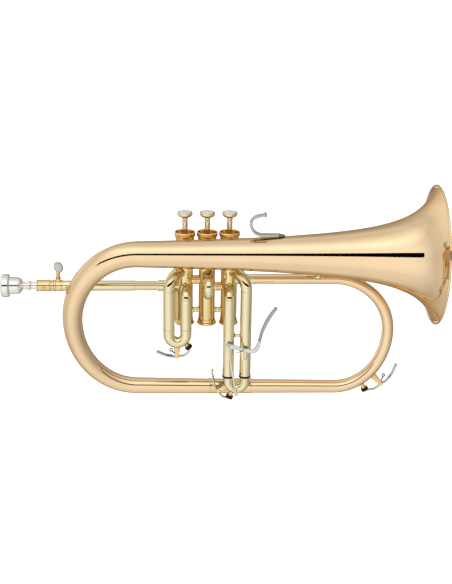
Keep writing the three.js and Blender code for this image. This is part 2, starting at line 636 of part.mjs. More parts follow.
function makeSecondSlide() {
  const { x, highZ, lowZ, tubeEnd, frontY, legEnd } = SECOND;
  const size = pipe(SLIDE.outer, SLIDE.outerBore);
  const side = at(1, 0, 0);
  [['second_tube_upper', highZ], ['second_tube_lower', lowZ]].forEach(([name, z]) => {
    const axis = straight(at(x, -PORT.root, z), at(x, tubeEnd + GAP, z));
    const tube = swept([[axis, 1, size, size]], circle(PIPE), side);
    add(name, cut(tube, casingEnvelope(2)), YELLOW_BRASS);
  });
  const bend = (highZ - lowZ) / 2;
  const middle = (highZ + lowZ) / 2;
  const front = frontY + SLIDE.inner;
  const bendY = front + bend;
  const thin = pipe(SLIDE.inner, SLIDE.bore);
  add('second_slide', swept([
    [straight(at(x, legEnd, highZ), at(x, bendY, highZ)), 1, thin, thin],
    [quarter(at(x, bendY, highZ), at(x, front, highZ), at(x, front, middle)), ELBOW_STEPS, thin, thin],
    [quarter(at(x, front, middle), at(x, front, lowZ), at(x, bendY, lowZ)), ELBOW_STEPS, thin, thin],
    [straight(at(x, bendY, lowZ), at(x, legEnd, lowZ)), 1, thin, thin],
  ], circle(PIPE), side), YELLOW_BRASS);
}

function makeThirdSlide() {
  const near = THIRD.nearX;
  const far = farX(near);
  add('third_tube_inner', elbowTube(3, near, ELBOW.innerZ, ELBOW.innerBend, THIRD.tubeEnd), YELLOW_BRASS);
  add('third_tube_outer', elbowTube(3, far, ELBOW.outerZ, ELBOW.outerBend, THIRD.tubeEnd), YELLOW_BRASS);
  const braceReach = SLIDE.outer + GAP;
  const braceEnds = [near + braceReach, far - braceReach].map((x) => at(x, SLIDE.y, THIRD.braceZ));
  add('third_tube_brace', rod(...braceEnds, THIRD.braceRadius), YELLOW_BRASS);
  const bow = slideBow(near, far, THIRD.legTop, THIRD.bowZ);
  const [footX, footZ] = LINK.foot;
  const stud = rod(at(footX, SLIDE.y - 4, footZ), at(footX, linkY - LINK.half, footZ), LINK.studRadius);
  add('third_slide', join(bow, stud, ...keySeat(THIRD_KEY, SLIDE.y)), YELLOW_BRASS);
  const bumperTop = THIRD.tubeEnd - GAP;
  [['third_bumper_inner', near], ['third_bumper_outer', far]].forEach(([name, x]) => {
    const bumper = ring(SLIDE.inner + GAP, THIRD.bumperRadius, bumperTop - THIRD.bumperLength, bumperTop, 'z');
    add(name, bumper.translate(x, SLIDE.y, 0), RUBBER);
  });
  add('third_water_key', waterKey(THIRD_KEY, SLIDE.y), NICKEL);
}

// ---- Third-slide trigger ----

// The lever turns on a pin on the inner slide tube; the link rod lies in front of it.
function makeTrigger() {
  const { pivot, y, half, armEnd, elbow, finger, saddleThickness, bossRadius, pinRadius, holeRadius } = TRIGGER;
  const saddleY = SLIDE.y - SLIDE.outer - GAP - saddleThickness / 2;
  const [pivotX, pivotZ] = pivot;
  const saddle = block(7, saddleThickness, 17, [pivotX + 0.3, saddleY, pivotZ - 5]);
  const boss = rod(at(pivotX, saddleY, pivotZ), at(pivotX, y + half + GAP, pivotZ), bossRadius, PIPE);
  const pin = rod(at(pivotX, saddleY, pivotZ), at(pivotX, y - half - 0.8, pivotZ), pinRadius, PIPE);
  add('trigger_saddle', join(saddle, boss, pin), NICKEL);
  const place = ([x, z]) => at(x, y, z);
  const lever = swept([
    [straight(place(armEnd), place(elbow)), 2, [half, 2], [half, 2.5]],
    [new THREE.CatmullRomCurve3([elbow, ...finger].map(place)), 12, [half, 2.5], [2.8, 2.2]],
  ], SQUARE);
  const hole = rod(at(pivotX, y - 4, pivotZ), at(pivotX, y + 4, pivotZ), holeRadius, PIPE);
  add('trigger_lever', cut(lever, hole), NICKEL);
}

function makeLinkRod() {
  const { foot: [footX, footZ], half, eyeBore, eyeRadius } = LINK;
  const [endX, endZ] = TRIGGER.armEnd;
  const foot = at(footX, linkY, footZ);
  const end = at(endX, linkY, endZ);
  const start = foot.clone().addScaledVector(end.clone().sub(foot).normalize(), 2);
  const eye = ring(eyeBore, eyeRadius, linkY - half, linkY + half, 'y').translate(footX, 0, footZ);
  const bar = swept([[straight(start, end), 1, [0.9, 0.9], [1, 1.6]]], SQUARE);
  add('link_rod', join(eye, bar), NICKEL);
}

// ---- Braces, finger hook and the right bow's water key ----

function makeLeadpipeBrace() {
  const { x, z, radius } = LEADPIPE_BRACE;
  const post = rod(at(x, 0, z), at(x, BELL.y, z), radius, PIPE);
  const pipeEnds = [LEADPIPE.collarStart, LEAD_FERRULE.start].map((end) => at(end, 0, 0));
  const pipeEnvelope = rod(...pipeEnds, LEADPIPE.radius + GAP, PIPE);
  const bowSide = block(40, 24, 40, [x, LEFT_BOW.midY - 12, z]);
  add('leadpipe_brace', cut(post, pipeEnvelope, bowEnvelope, bowSide), YELLOW_BRASS);
}

// A post with a diamond flange that is wrapped round the right bow's upper tube.
function makeBellBrace() {
  const { x, radius, halfLength, halfWidth, thickness } = BELL_BRACE;
  const tubeRadius = RIGHT_BOW.highRadius + GAP;
  const tubeAxis = at(x, 0, EXIT.z);
  const bellAxis = at(x, BELL.y, BELL.z);
  const post = rod(tubeAxis, bellAxis, radius, PIPE);
  const sleeve = ring(tubeRadius, tubeRadius + thickness, x - halfLength, x + halfLength, 'x', ROUND);
  sleeve.translate(0, 0, EXIT.z);
  const size = [halfLength, halfWidth];
  const corners = [[1, 0], [0, 1], [-1, 0], [0, -1]];
  const diamond = swept([[straight(tubeAxis, bellAxis), 1, size, size]], corners, at(1, 0, 0));
  const tubeEnvelope = rod(at(x - halfLength, 0, EXIT.z), at(x + halfLength, 0, EXIT.z), tubeRadius, ROUND);
  add('bell_brace', join(cut(post, tubeEnvelope, bellEnvelope), common(sleeve, diamond)), YELLOW_BRASS);
}

function makeBellValveBrace() {
  const { z, radius } = VALVE_BRACE;
  const post = rod(at(valveX(3), 0, z), at(valveX(3), BELL.y, z), radius, PIPE);
  add('bell_valve_brace', cut(post, casingEnvelope(3), bellEnvelope), YELLOW_BRASS);
}

function makeFingerHook() {
  const { footFrom, footTo, loop, toe, heel, tip } = HOOK;
  const top = (x, lift) => [x, BELL.z + bellRadius(x) + GAP + lift];
  const lift = heel[1];
  const place = ([x, z]) => at(x, BELL.y, z);
  const bend = top(footTo, 2 * lift);
  const foot = [top(footFrom, lift), top((footFrom + footTo) / 2, lift), bend];
  const strip = swept([
    [new THREE.CatmullRomCurve3(foot.map(place)), 3, toe, heel],
    [new THREE.CatmullRomCurve3([bend, ...loop].map(place)), 9, heel, tip],
  ], SQUARE);
  add('finger_hook', cut(strip, bellEnvelope), NICKEL);
}

function makeBowWaterKey() {
  const bow = flugelhorn.getObjectByName('right_bow');
  bow.geometry = join(bow.geometry, ...keySeat(BOW_KEY, BOW_KEY.y));
  add('bow_water_key', waterKey(BOW_KEY, BOW_KEY.y), NICKEL);
}

makeMouthpiece();
makeTuningPipe();
makeLeadpipe();
makeClampScrew();
makeBell();
makeBows();
[1, 2, 3].forEach((number) => {
  makeCasing(number);
  makeCaps(number);
  makePiston(number);
  makeSpring(number);
  makeFingerPiece(number);
});
makeValveLinks();
makeFirstSlide();
makeSecondSlide();
makeThirdSlide();
makeTrigger();
makeLinkRod();
makeLeadpipeBrace();
makeBellBrace();
makeBellValveBrace();
makeFingerHook();
makeBowWaterKey();

export default flugelhorn;
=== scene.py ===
"""The visual model of a B-flat flugelhorn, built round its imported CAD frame.

Lengths are in millimetres unless a name says otherwise; MM turns them into Blender's metres.
+X points out of the bell, +Z up along the valves, and -Y to the side of the slides.
"""

import json
import math

import bmesh
import bpy
from mathutils import Matrix, Vector


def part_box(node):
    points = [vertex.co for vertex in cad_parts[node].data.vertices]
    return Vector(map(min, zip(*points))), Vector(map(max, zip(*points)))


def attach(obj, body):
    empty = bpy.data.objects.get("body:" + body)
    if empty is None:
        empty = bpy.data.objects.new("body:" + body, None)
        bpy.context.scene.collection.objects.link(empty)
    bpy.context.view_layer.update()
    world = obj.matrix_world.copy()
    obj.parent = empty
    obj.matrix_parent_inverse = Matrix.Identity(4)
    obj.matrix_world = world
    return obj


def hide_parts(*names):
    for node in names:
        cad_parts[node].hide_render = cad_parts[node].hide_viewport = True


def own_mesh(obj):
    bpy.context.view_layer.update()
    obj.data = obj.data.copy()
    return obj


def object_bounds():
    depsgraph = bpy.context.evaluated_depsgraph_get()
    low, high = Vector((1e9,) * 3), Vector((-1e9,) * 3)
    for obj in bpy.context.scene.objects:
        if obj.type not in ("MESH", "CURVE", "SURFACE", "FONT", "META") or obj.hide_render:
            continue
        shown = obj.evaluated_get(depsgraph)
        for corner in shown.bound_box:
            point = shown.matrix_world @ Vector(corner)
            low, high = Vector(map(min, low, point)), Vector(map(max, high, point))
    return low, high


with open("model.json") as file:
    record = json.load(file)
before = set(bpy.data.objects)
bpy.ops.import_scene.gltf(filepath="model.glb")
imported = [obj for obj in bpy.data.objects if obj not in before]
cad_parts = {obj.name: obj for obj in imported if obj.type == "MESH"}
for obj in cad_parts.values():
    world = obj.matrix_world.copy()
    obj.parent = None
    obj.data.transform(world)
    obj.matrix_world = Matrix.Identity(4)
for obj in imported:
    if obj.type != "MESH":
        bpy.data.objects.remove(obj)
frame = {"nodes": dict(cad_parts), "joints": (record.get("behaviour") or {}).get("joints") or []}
cad_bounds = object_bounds()
scene = bpy.context.scene

MM = 0.001
NUMBERS = (1, 2, 3)

# ---- Driving dimensions that the frame doesn't give ----

BELL_FLARE = 0.555
BELL_FLARE_LENGTH = 16.5
BELL_WALL = 0.6
BELL_STATIONS = 100
BELL_CROWDING = 0.6
RIM_BEAD = 1.25
BOW_WALL = 0.6
LEFT_BOW_RADIUS = 10.9
LEFT_BOW_END_RADIUS = 9.1
LEFT_BOW_TUCK = 6
LEFT_BOW_BOTTOM = 2.6
LEFT_BOW_RISE = 1.4
RIGHT_BOW_RADII = (7.95, 7.4, 6.7, 5.8, 5.6)
RIGHT_BOW_STARTS = (58.2, 63.6)
RIGHT_BOW_RISE = 3.95
LOWER_TUBE_DROPS = (0.3, 1)
SLIDE_OUTER = 6.35
SLIDE_OUTER_BORE = 5.85
SLIDE_INNER = 5.6
SLIDE_BORE = 4.9
SLIDE_PITCH = 18.8
SECOND_BOW_WALL = 0.6
THIRD_BOW_DROP = 7.2
OUTER_BEND = 17
INNER_BEND = 10
OUTER_RING_Z = 0.4
INNER_RING_Z = -8.9
CASING_RADIUS = 9.1
CASING_WALL = 0.6
CASING_SEAT = 0.35
TUBE_ROOT = 7
LEADPIPE_RADIUS = 5.75
LEADPIPE_BORE = 5.2
LEADPIPE_JOINT = 89
LEADPIPE_COLLAR = (6.6, 8.8)
RECEIVER_RADIUS = 6.5
PADDLE_HALF_SIZE = (5.3, 1, 6.8)
PADDLE_SHIFT = 0.6
PADDLE_TILT = -0.25
UPRIGHT_RADIUS = 3
PAD_RADIUS = 4.3
PAD_HALF = 1.6
NIPPLE_RADIUS = 2.3
EAR_SHIFT = 1.9
COIL_RADIUS = 1.6
COIL_TURNS = 3
COIL_STEPS = 16
COIL_WIRE = 0.5
COIL_WIDTH = 2.4
COIL_LEG = 3.6
SPRING_WIRE = 0.55
SPRING_TURNS = 6
SPRING_STEPS = 24
SPRING_CLOSED = 0.75
SADDLE_HALF_ANGLE = math.radians(34)
FLANGE_HALF_ANGLE = math.radians(46)

CAMERA_PLACE = Vector((-33.5, -1260.4, 439.2))
CAMERA_AZIMUTH = -2.5
CAMERA_ELEVATION = 19.5
CAMERA_LENS = 73.97
CAMERA_SENSOR = 36
CAMERA_REACH_M = 100
FLOOR_DROP = 190
FLOOR_SIZE_M = 50
FLOOR_SHADES = ((0.90, 0.90, 0.89), (0.91, 0.91, 0.90))
LAMP_ENERGY = 2000
LAMP_SIZE_M = 30
LAMP_HEIGHT_M = 6
TENT_TURN = math.radians(20)
TENT_BACK_TURN = math.radians(45)
FRONT_SHADES = ((-1, 0.40), (-0.2, 0.42), (0.2, 0.59), (0.6, 0.78), (0.8, 0.95), (1, 1.1))
BACK_SHADES = ((-1, 0), (0.6, 0), (0.85, 0.22), (1, 0.58))
UPWARD_SHADES = ((-1, 1.6), (-0.95, 1.3), (-0.75, 1.1), (-0.33, 1.02), (0, 0.97), (0.6, 1.2), (0.86, 1.9),
                 (1, 1.7))
SLIT_PLACE_M = (-0.78, 0.262)
SLIT_ENDS_M = (-0.85, 1.2)
SLIT_WIDTH_M = 0.21
SLIT_SHADES = ((0.0008, 0.0007, 0.0006), (0.0012, 0.0011, 0.001))


# ---- Materials ----

MATERIALS = {}
COLOUR_STOPS = (0.35, 0.7)
NOISE_RANGE = (0.3, 0.7)
CLOUD_DETAIL = 3
GRAIN_DETAIL = 2
RELIEF_HEIGHT_M = 0.0001
COAT_ROUGHNESS = 0.04


def colour_ramp(nodes, links, factor, low, high):
    """Mixes two colours by a factor."""
    mixer = nodes.new("ShaderNodeValToRGB")
    for stop, position, colour in zip(mixer.color_ramp.elements, COLOUR_STOPS, (low, high)):
        stop.position = position
        stop.color = (*colour, 1)
    links.new(factor, mixer.inputs["Fac"])
    return mixer.outputs["Color"]


def noise(nodes, links, coords, scale, detail):
    texture = nodes.new("ShaderNodeTexNoise")
    texture.inputs["Scale"].default_value = scale
    texture.inputs["Detail"].default_value = detail
    links.new(coords, texture.inputs["Vector"])
    return texture.outputs["Fac"]


def spread(nodes, links, value, low, high):
    """Maps a noise value to a range."""
    mapped = nodes.new("ShaderNodeMapRange")
    for name, number in zip(("From Min", "From Max", "To Min", "To Max"), (*NOISE_RANGE, low, high)):
        mapped.inputs[name].default_value = number
    links.new(value, mapped.inputs["Value"])
    return mapped.outputs["Result"]


def surface(name, low, high, cloud_scale, roughness, grain_scale, bump,
            metallic=1, edge=None, coat=0, shine=0.5):
    """A procedural finish: clouded colour, uneven roughness and a fine relief; an edge tint paints shade on a
    metal's grazing edges.
    """
    material = bpy.data.materials.new(name)
    material.use_nodes = True
    nodes, links = material.node_tree.nodes, material.node_tree.links
    shader = nodes["Principled BSDF"]
    shader.inputs["Metallic"].default_value = metallic
    shader.inputs["Specular IOR Level"].default_value = shine
    shader.inputs["Coat Weight"].default_value = coat
    shader.inputs["Coat Roughness"].default_value = COAT_ROUGHNESS
    # Painted shade: the edge tint darkens the metal's sides, standing in for the dark surroundings reflected
    # there.
    if edge:
        shader.inputs["Specular Tint"].default_value = (*edge, 1)
    coords = nodes.new("ShaderNodeTexCoord").outputs["Object"]
    cloud = noise(nodes, links, coords, cloud_scale, CLOUD_DETAIL)
    links.new(colour_ramp(nodes, links, cloud, low, high), shader.inputs["Base Color"])
    grain = noise(nodes, links, coords, grain_scale, GRAIN_DETAIL)
    links.new(spread(nodes, links, grain, *roughness), shader.inputs["Roughness"])
    relief = nodes.new("ShaderNodeBump")
    relief.inputs["Strength"].default_value = bump
    relief.inputs["Distance"].default_value = RELIEF_HEIGHT_M
    links.new(grain, relief.inputs["Height"])
    links.new(relief.outputs["Normal"], shader.inputs["Normal"])
    MATERIALS[name] = material
    return material


# Each finish: low and high colour, cloud scale, roughness range, grain scale and relief.
LACQUERED = (30, (0.03, 0.06), 320, 0.008)
MATT_PAINT = (2, (0.6, 0.7), 40, 0.02)
# The brasses' edge tints are painted shade: darker, browner sides that stand in for reflections of the dark
# surroundings.
surface("rose_brass", (0.885, 0.65, 0.395), (0.915, 0.69, 0.43), 22, (0.03, 0.055), 260, 0.004,
        edge=(0.76, 0.58, 0.40))
surface("yellow_brass", (0.835, 0.735, 0.465), (0.87, 0.77, 0.50), *LACQUERED, edge=(0.74, 0.62, 0.38))
# Painted shade: yellow brass made warmer, with an orange-brown edge tint, standing in for the darker
# reflections between the casings and tubes.
surface("brass_painted_shade", (0.85, 0.67, 0.36), (0.88, 0.71, 0.40), *LACQUERED, edge=(0.68, 0.46, 0.22))
# Painted reflection and shade: brass made a deeper orange gold, standing in for the pink bell reflected in
# the caps, with a dark orange edge tint.
surface("gold_painted_reflection", (0.86, 0.60, 0.27), (0.90, 0.65, 0.32), *LACQUERED, edge=(0.62, 0.34, 0.12))
surface("dull_nickel", (0.36, 0.37, 0.33), (0.46, 0.47, 0.43), 60, (0.2, 0.3), 500, 0.05)
# Painted shade: a darker copy of the nickel, for the finger hook, the thumbscrew and the water-key levers.
surface("nickel_painted_shade", (0.52, 0.52, 0.49), (0.62, 0.62, 0.59), 60, (0.1, 0.16), 500, 0.04)
surface("nickel", (0.66, 0.65, 0.61), (0.74, 0.73, 0.70), 60, (0.12, 0.2), 500, 0.04)
surface("silver", (0.84, 0.82, 0.77), (0.89, 0.87, 0.83), 60, (0.05, 0.1), 400, 0.02)
surface("monel", (0.60, 0.59, 0.55), (0.68, 0.67, 0.63), 50, (0.2, 0.3), 700, 0.05)
surface("steel", (0.20, 0.20, 0.20), (0.28, 0.28, 0.28), 80, (0.2, 0.32), 900, 0.05)
surface("felt", (0.42, 0.17, 0.07), (0.52, 0.23, 0.10), 300, (0.8, 0.9), 1500, 0.4, metallic=0)
surface("rubber", (0.006, 0.005, 0.005), (0.012, 0.011, 0.01), 150, (0.5, 0.7), 1500, 0.3, metallic=0,
        shine=0.1)
surface("pearl", (0.36, 0.36, 0.34), (0.48, 0.47, 0.45), 260, (0.12, 0.2), 800, 0.03, metallic=0, coat=0.6)


# ---- Places from the frame ----

class Place:
    """A CAD node's box."""

    def __init__(self, node):
        self.low, self.high = (Vector(corner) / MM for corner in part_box(node))
        self.mid = (self.low + self.high) / 2
        self.size = self.high - self.low


def pivot(joint):
    found = next(each for each in frame["joints"] if each["name"] == joint)
    return Vector(found["pos_m"]) / MM


# ---- Shapes ----

QUARTER_PULL = 0.5523  # puts a cubic curve's handles where it follows a quarter circle
SMOOTH_TURN = math.radians(12)
ROUNDING_SHARE = 0.45
SHARP_EDGE = math.radians(40)
AXES = {
    "x": (Vector((1, 0, 0)), Vector((0, 1, 0)), Vector((0, 0, 1))),
    "y": (Vector((0, 1, 0)), Vector((0, 0, 1)), Vector((1, 0, 0))),
    "z": (Vector((0, 0, 1)), Vector((1, 0, 0)), Vector((0, 1, 0))),
}


def at(x, y, z):
    return Vector((x, y, z))


def both(radius):
    """A round section's size."""
    return Vector((radius, radius))


def evenly(half, steps):
    """Numbers from -half to half."""
    return [half * (-1 + 2 * i / steps) for i in range(steps + 1)]


def circle(count=40):
    return [(math.cos(math.tau * i / count), math.sin(math.tau * i / count)) for i in range(count)]


def rounded_square(count=24, power=0.45):
    """A square with rounded corners, as a superellipse."""
    def bulge(value):
        return math.copysign(abs(value) ** power, value)
    return [(bulge(u), bulge(v)) for u, v in circle(count)]


def skin(rings, ends="capped"):
    """A mesh through rings of points. Its ends are capped, or the last ring is joined to the first."""
    mesh = bmesh.new()
    rows = [[mesh.verts.new(point * MM) for point in ring] for ring in rings]
    pairs = list(zip(rows, rows[1:]))
    if ends == "joined":
        pairs.append((rows[-1], rows[0]))
    for near, far in pairs:
        for i in range(len(near)):
            j = (i + 1) % len(near)
            mesh.faces.new((near[i], near[j], far[j], far[i]))
    if ends == "capped":
        mesh.faces.new(rows[0][::-1])
        mesh.faces.new(rows[-1])
    bmesh.ops.remove_doubles(mesh, verts=mesh.verts, dist=1e-7)
    bmesh.ops.recalc_face_normals(mesh, faces=mesh.faces)
    return mesh


def softened(profile, radius, closed):
    """Rounds a profile's corners."""
    points = [Vector(point) for point in profile]
    if not radius:
        return points
    result = []
    for i, here in enumerate(points):
        if not closed and i in (0, len(points) - 1):
            result.append(here)
            continue
        back = points[i - 1] - here
        ahead = points[(i + 1) % len(points)] - here
        if back.angle(-ahead) < SMOOTH_TURN:
            result.append(here)
            continue
        start = here + back.normalized() * min(radius, back.length * ROUNDING_SHARE)
        end = here + ahead.normalized() * min(radius, ahead.length * ROUNDING_SHARE)
        result += [start, (start + here * 2 + end) / 4, end]
    return result


def turned(profile, axis, centre, sides=56, soft=0.3):
    """Turns (radius, distance along the axis) points about an axis through centre."""
    along, across, up = AXES[axis]
    closed = profile[0][0] > 0
    rings = [[centre + along * h + (across * u + up * v) * r for u, v in circle(sides)]
             for r, h in softened(profile, soft, closed)]
    return skin(rings, "joined" if closed else "capped")


def band(bore, radius, low, high, axis, centre, sides=56, soft=0.3):
    """A plain ring between two places on its axis, or a disc where the bore is 0."""
    return turned([(bore, low), (radius, low), (radius, high), (bore, high)], axis, centre, sides, soft)


def quarter(start, corner, end, steps=18):
    """A quarter turn round the corner where two directions meet."""
    first, second = start.lerp(corner, QUARTER_PULL), end.lerp(corner, QUARTER_PULL)
    turn = []
    for i in range(steps + 1):
        t = i / steps
        s = 1 - t
        turn.append(start * s ** 3 + first * (3 * s * s * t) + second * (3 * s * t * t) + end * t ** 3)
    return turn


def through(points, steps=8):
    """A smooth curve through points."""
    ends = [points[0] * 2 - points[1], *points, points[-1] * 2 - points[-2]]
    result = []
    for a, b, c, d in zip(ends, ends[1:], ends[2:], ends[3:]):
        for i in range(steps):
            t = i / steps
            result.append((b * 2 + (c - a) * t + (a * 2 - b * 5 + c * 4 - d) * t * t
                           + (b * 3 - a - c * 3 + d) * t ** 3) / 2)
    return [*result, points[-1]]


def route(*legs):
    """Stations along legs of (points, first size, last size). A size is a radius or two half sizes."""
    result = []
    for points, first, last in legs:
        first, last = (Vector(size if isinstance(size, tuple) else (size, size)) for size in (first, last))
        lengths = [0]
        for before, here in zip(points, points[1:]):
            lengths.append(lengths[-1] + (here - before).length)
        for point, length in zip(points, lengths):
            if not result or (point - result[-1][0]).length > 1e-4:
                result.append((point, first.lerp(last, length / lengths[-1])))
    return result


def even(size, *legs):
    """Stations of one size along legs of points."""
    return route(*((points, size, size) for points in legs))


def swept(stations, section=None, side=AXES["y"][0], wall=0, casings=()):
    """Sweeps a section along stations; with a wall it is a tube. A casing trims the end that starts in it."""
    section = section or circle()
    across = side
    outer, inner = [], []
    for i, (point, size) in enumerate(stations):
        along = (stations[min(i + 1, len(stations) - 1)][0] - stations[max(i - 1, 0)][0]).normalized()
        across = (across - along * across.dot(along)).normalized()
        up = along.cross(across)
        for ring, less in ((outer, 0), (inner, wall)):
            ring.append([point + across * u * (size.x - less) + up * v * (size.y - less) for u, v in section])
    for end, casing in casings:
        way = (stations[end][0] - stations[end + 1 if end == 0 else end - 1][0]).normalized()
        for rings in (outer, inner):
            rings[end] = [onto_casing(point, -way, casing) for point in rings[end]]
    if not wall:
        return skin(outer)
    return skin(outer + inner[::-1], "joined")


def onto_casing(point, way, casing):
    """Moves a point along a level direction to a casing's surface."""
    off = (point - casing).xy
    flat = way.xy.normalized()
    ahead = off.dot(flat)
    seat = CASING_RADIUS - CASING_SEAT
    distance = -ahead + math.sqrt(max(ahead ** 2 - off.length_squared + seat ** 2, 0))
    return point + at(*flat, 0) * distance


def wire(points, radius, side, sides=10):
    return swept([(point, both(radius)) for point in points], circle(sides), side)


def spindle(start, end, steps, side):
    """A round post along a line, by (share of its length, radius) steps."""
    return swept([(start.lerp(end, t), both(r)) for t, r in steps], circle(36), side)


def piece(name, slot, body, *shapes, replaces=None, finish=None):
    """Joins shapes into one object that rides on a body, and may stand for a CAD node."""
    whole = bmesh.new()
    for shape in shapes:
        part = bpy.data.meshes.new("part")
        shape.to_mesh(part)
        shape.free()
        whole.from_mesh(part)
        bpy.data.meshes.remove(part)
    mesh = bpy.data.meshes.new(name)
    whole.to_mesh(mesh)
    whole.free()
    mesh.materials.append(MATERIALS[finish or slot])
    mesh.shade_smooth()
    mesh.set_sharp_from_angle(angle=SHARP_EDGE)
    made = bpy.data.objects.new(name, mesh)
    scene.collection.objects.link(made)
    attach(made, body)
    if replaces:
        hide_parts(replaces)
    return made


def brass(name, *shapes, replaces=None, finish=None):
    """A brass piece of the horn's fixed body."""
    return piece(name, "yellow_brass", "horn", *shapes, replaces=replaces, finish=finish)


def rod(start, end, radius, soft=0.3, sides=32):
    """A round bar with softened ends."""
    way = (end - start).normalized()
    side = AXES["x"][0] if abs(way.x) < 0.9 else AXES["y"][0]
    full = (end - start).length
    steps = [(0, radius - soft), (soft, radius), (full - soft, radius), (full, radius - soft)]
    return swept([(start + way * h, both(r)) for h, r in steps], circle(sides), side)


# ---- Bell ----

bell = Place("bell")
BELL_AXIS = at(0, bell.mid.y, bell.mid.z)
RIM_RADIUS = bell.size.z / 2


def bell_radius(x):
    return RIM_RADIUS * (1 + (bell.high.x - x) / BELL_FLARE_LENGTH) ** -BELL_FLARE


def make_bell():
    outline = []
    for i in range(BELL_STATIONS + 1):
        share = (i / BELL_STATIONS) ** BELL_CROWDING
        x = bell.low.x + (bell.high.x - RIM_BEAD - bell.low.x) * share
        outline.append((bell_radius(x), x))
    inside = [(r - BELL_WALL, x) for r, x in reversed(outline)]
    edge = bell.high.x - RIM_BEAD
    bead = [(RIM_RADIUS - RIM_BEAD + RIM_BEAD * u, edge + RIM_BEAD * v) for u, v in circle(16)]
    piece("horn_bell", "rose_brass", "horn", turned(outline + inside, "x", BELL_AXIS, 144, 0),
          turned(bead, "x", BELL_AXIS, 144, 0), replaces="bell")


# ---- Bows and lower tube ----

def make_left_bow():
    bow, sleeve = Place("bell_bow"), Place("tail_sleeve")
    far = bow.low.x + LEFT_BOW_RADIUS
    low_z = bow.low.z + LEFT_BOW_END_RADIUS
    top = at(bell.low.x, *BELL_AXIS.yz)
    middle = at(far, (top.y + sleeve.mid.y) / 2, (top.z + low_z) / 2 + LEFT_BOW_RISE)
    bottom = at(bell.low.x - LEFT_BOW_BOTTOM, sleeve.mid.y, low_z)
    end = at(sleeve.low.x, sleeve.mid.y, sleeve.mid.z)
    sleeve_radius = sleeve.size.y / 2
    neck = bell_radius(top.x)
    stations = route(
        ([top + at(LEFT_BOW_TUCK, 0, 0), top], neck - 0.3, neck),
        (quarter(top, at(far, top.y, top.z), middle, 28), neck, LEFT_BOW_RADIUS),
        (quarter(middle, at(far, bottom.y, low_z), bottom, 28), LEFT_BOW_RADIUS, LEFT_BOW_END_RADIUS),
        ([bottom, end], LEFT_BOW_END_RADIUS, sleeve_radius - 0.15))
    piece("left_bow", "rose_brass", "horn", swept(stations, circle(64), wall=BOW_WALL), replaces="bell_bow")
    lip, bore = sleeve_radius + 0.35, sleeve_radius - BOW_WALL - 0.3
    length = sleeve.size.x
    brass("lower_sleeve", turned([
        (bore, 0), (lip, 0), (lip, 1.6), (sleeve_radius, 2), (sleeve_radius, length - 2), (lip, length - 1.6),
        (lip, length), (bore, length)], "x", end), replaces="tail_sleeve", finish="brass_painted_shade")


def make_right_bow():
    bow, sleeve, ferrule = Place("right_bow"), Place("tail_sleeve"), Place("exit_ferrule")
    start_radius, low_radius, mid_radius, high_radius, end_radius = RIGHT_BOW_RADII
    far, y = bow.high.x - mid_radius, sleeve.mid.y
    start = at(sleeve.high.x, y, sleeve.mid.z - LOWER_TUBE_DROPS[0])
    low = at(far - RIGHT_BOW_STARTS[0], y, sleeve.mid.z - LOWER_TUBE_DROPS[1])
    high = at(far - RIGHT_BOW_STARTS[1], 0, ferrule.mid.z)
    middle = at(far, y / 2, (low.z + high.z) / 2 + RIGHT_BOW_RISE)
    end = at(ferrule.high.x, 0, ferrule.mid.z)
    stations = route(
        ([start, low], start_radius, low_radius),
        (quarter(low, at(far, y, low.z), middle, 26), low_radius, mid_radius),
        (quarter(middle, at(far, 0, high.z), high, 26), mid_radius, high_radius),
        ([high, end], high_radius, end_radius))
    piece("right_bow_tube", "rose_brass", "horn", swept(stations, circle(56), wall=BOW_WALL),
          replaces="right_bow")


def make_exit_ferrule():
    place, casing = Place("exit_ferrule"), Place("casing_3").mid
    radius, bore = place.size.z / 2, RIGHT_BOW_RADII[-1]
    start, end = (at(x, 0, place.mid.z) for x in (casing.x + TUBE_ROOT, place.high.x))
    sleeve = swept(even(radius - 0.1, [start, end]), circle(48), wall=0.3, casings=[(0, casing)])
    brass("exit_sleeve", sleeve, band(bore, radius + 0.25, -1.5, 0, "x", end), replaces="exit_ferrule")


# ---- Mouthpiece, tuning pipe and leadpipe ----

def make_mouthpiece():
    place, receiver = Place("mouthpiece"), Place("tuning_pipe")
    rim = place.size.z / 2
    socket = receiver.low.x - place.low.x
    length = place.size.x
    profile = [
        (8.2, 1.6), (8.9, 0.5), (10.6, 0), (12.1, 0.5), (rim - 0.2, 1.8), (rim, 3), (rim, 7.2),
        (rim - 0.3, 8.3), (rim - 1.2, 8.9), (10.2, 9.2), (9.8, 9.8), (9.75, 16.5), (9.5, 18.6), (8.8, 20.6),
        (7.4, 22.3), (5.4, 23.4), (4.1, 24.1), (3.9, 27.8), (4.2, 28.6), (5.3, 29.2), (5.5, 30.6), (5.3, 32),
        (4.2, 32.6), (3.9, 33.6), (4.1, 36), (4.6, socket), (4.2, length), (3.4, length), (2.1, 28),
        (2.1, 22.5), (3.2, 20.5), (5.6, 16), (7.4, 10), (8.1, 4),
    ]
    piece("cup_mouthpiece", "silver", "mouthpiece", turned(profile, "x", at(place.low.x, 0, 0), 80, 0.35),
          replaces="mouthpiece")


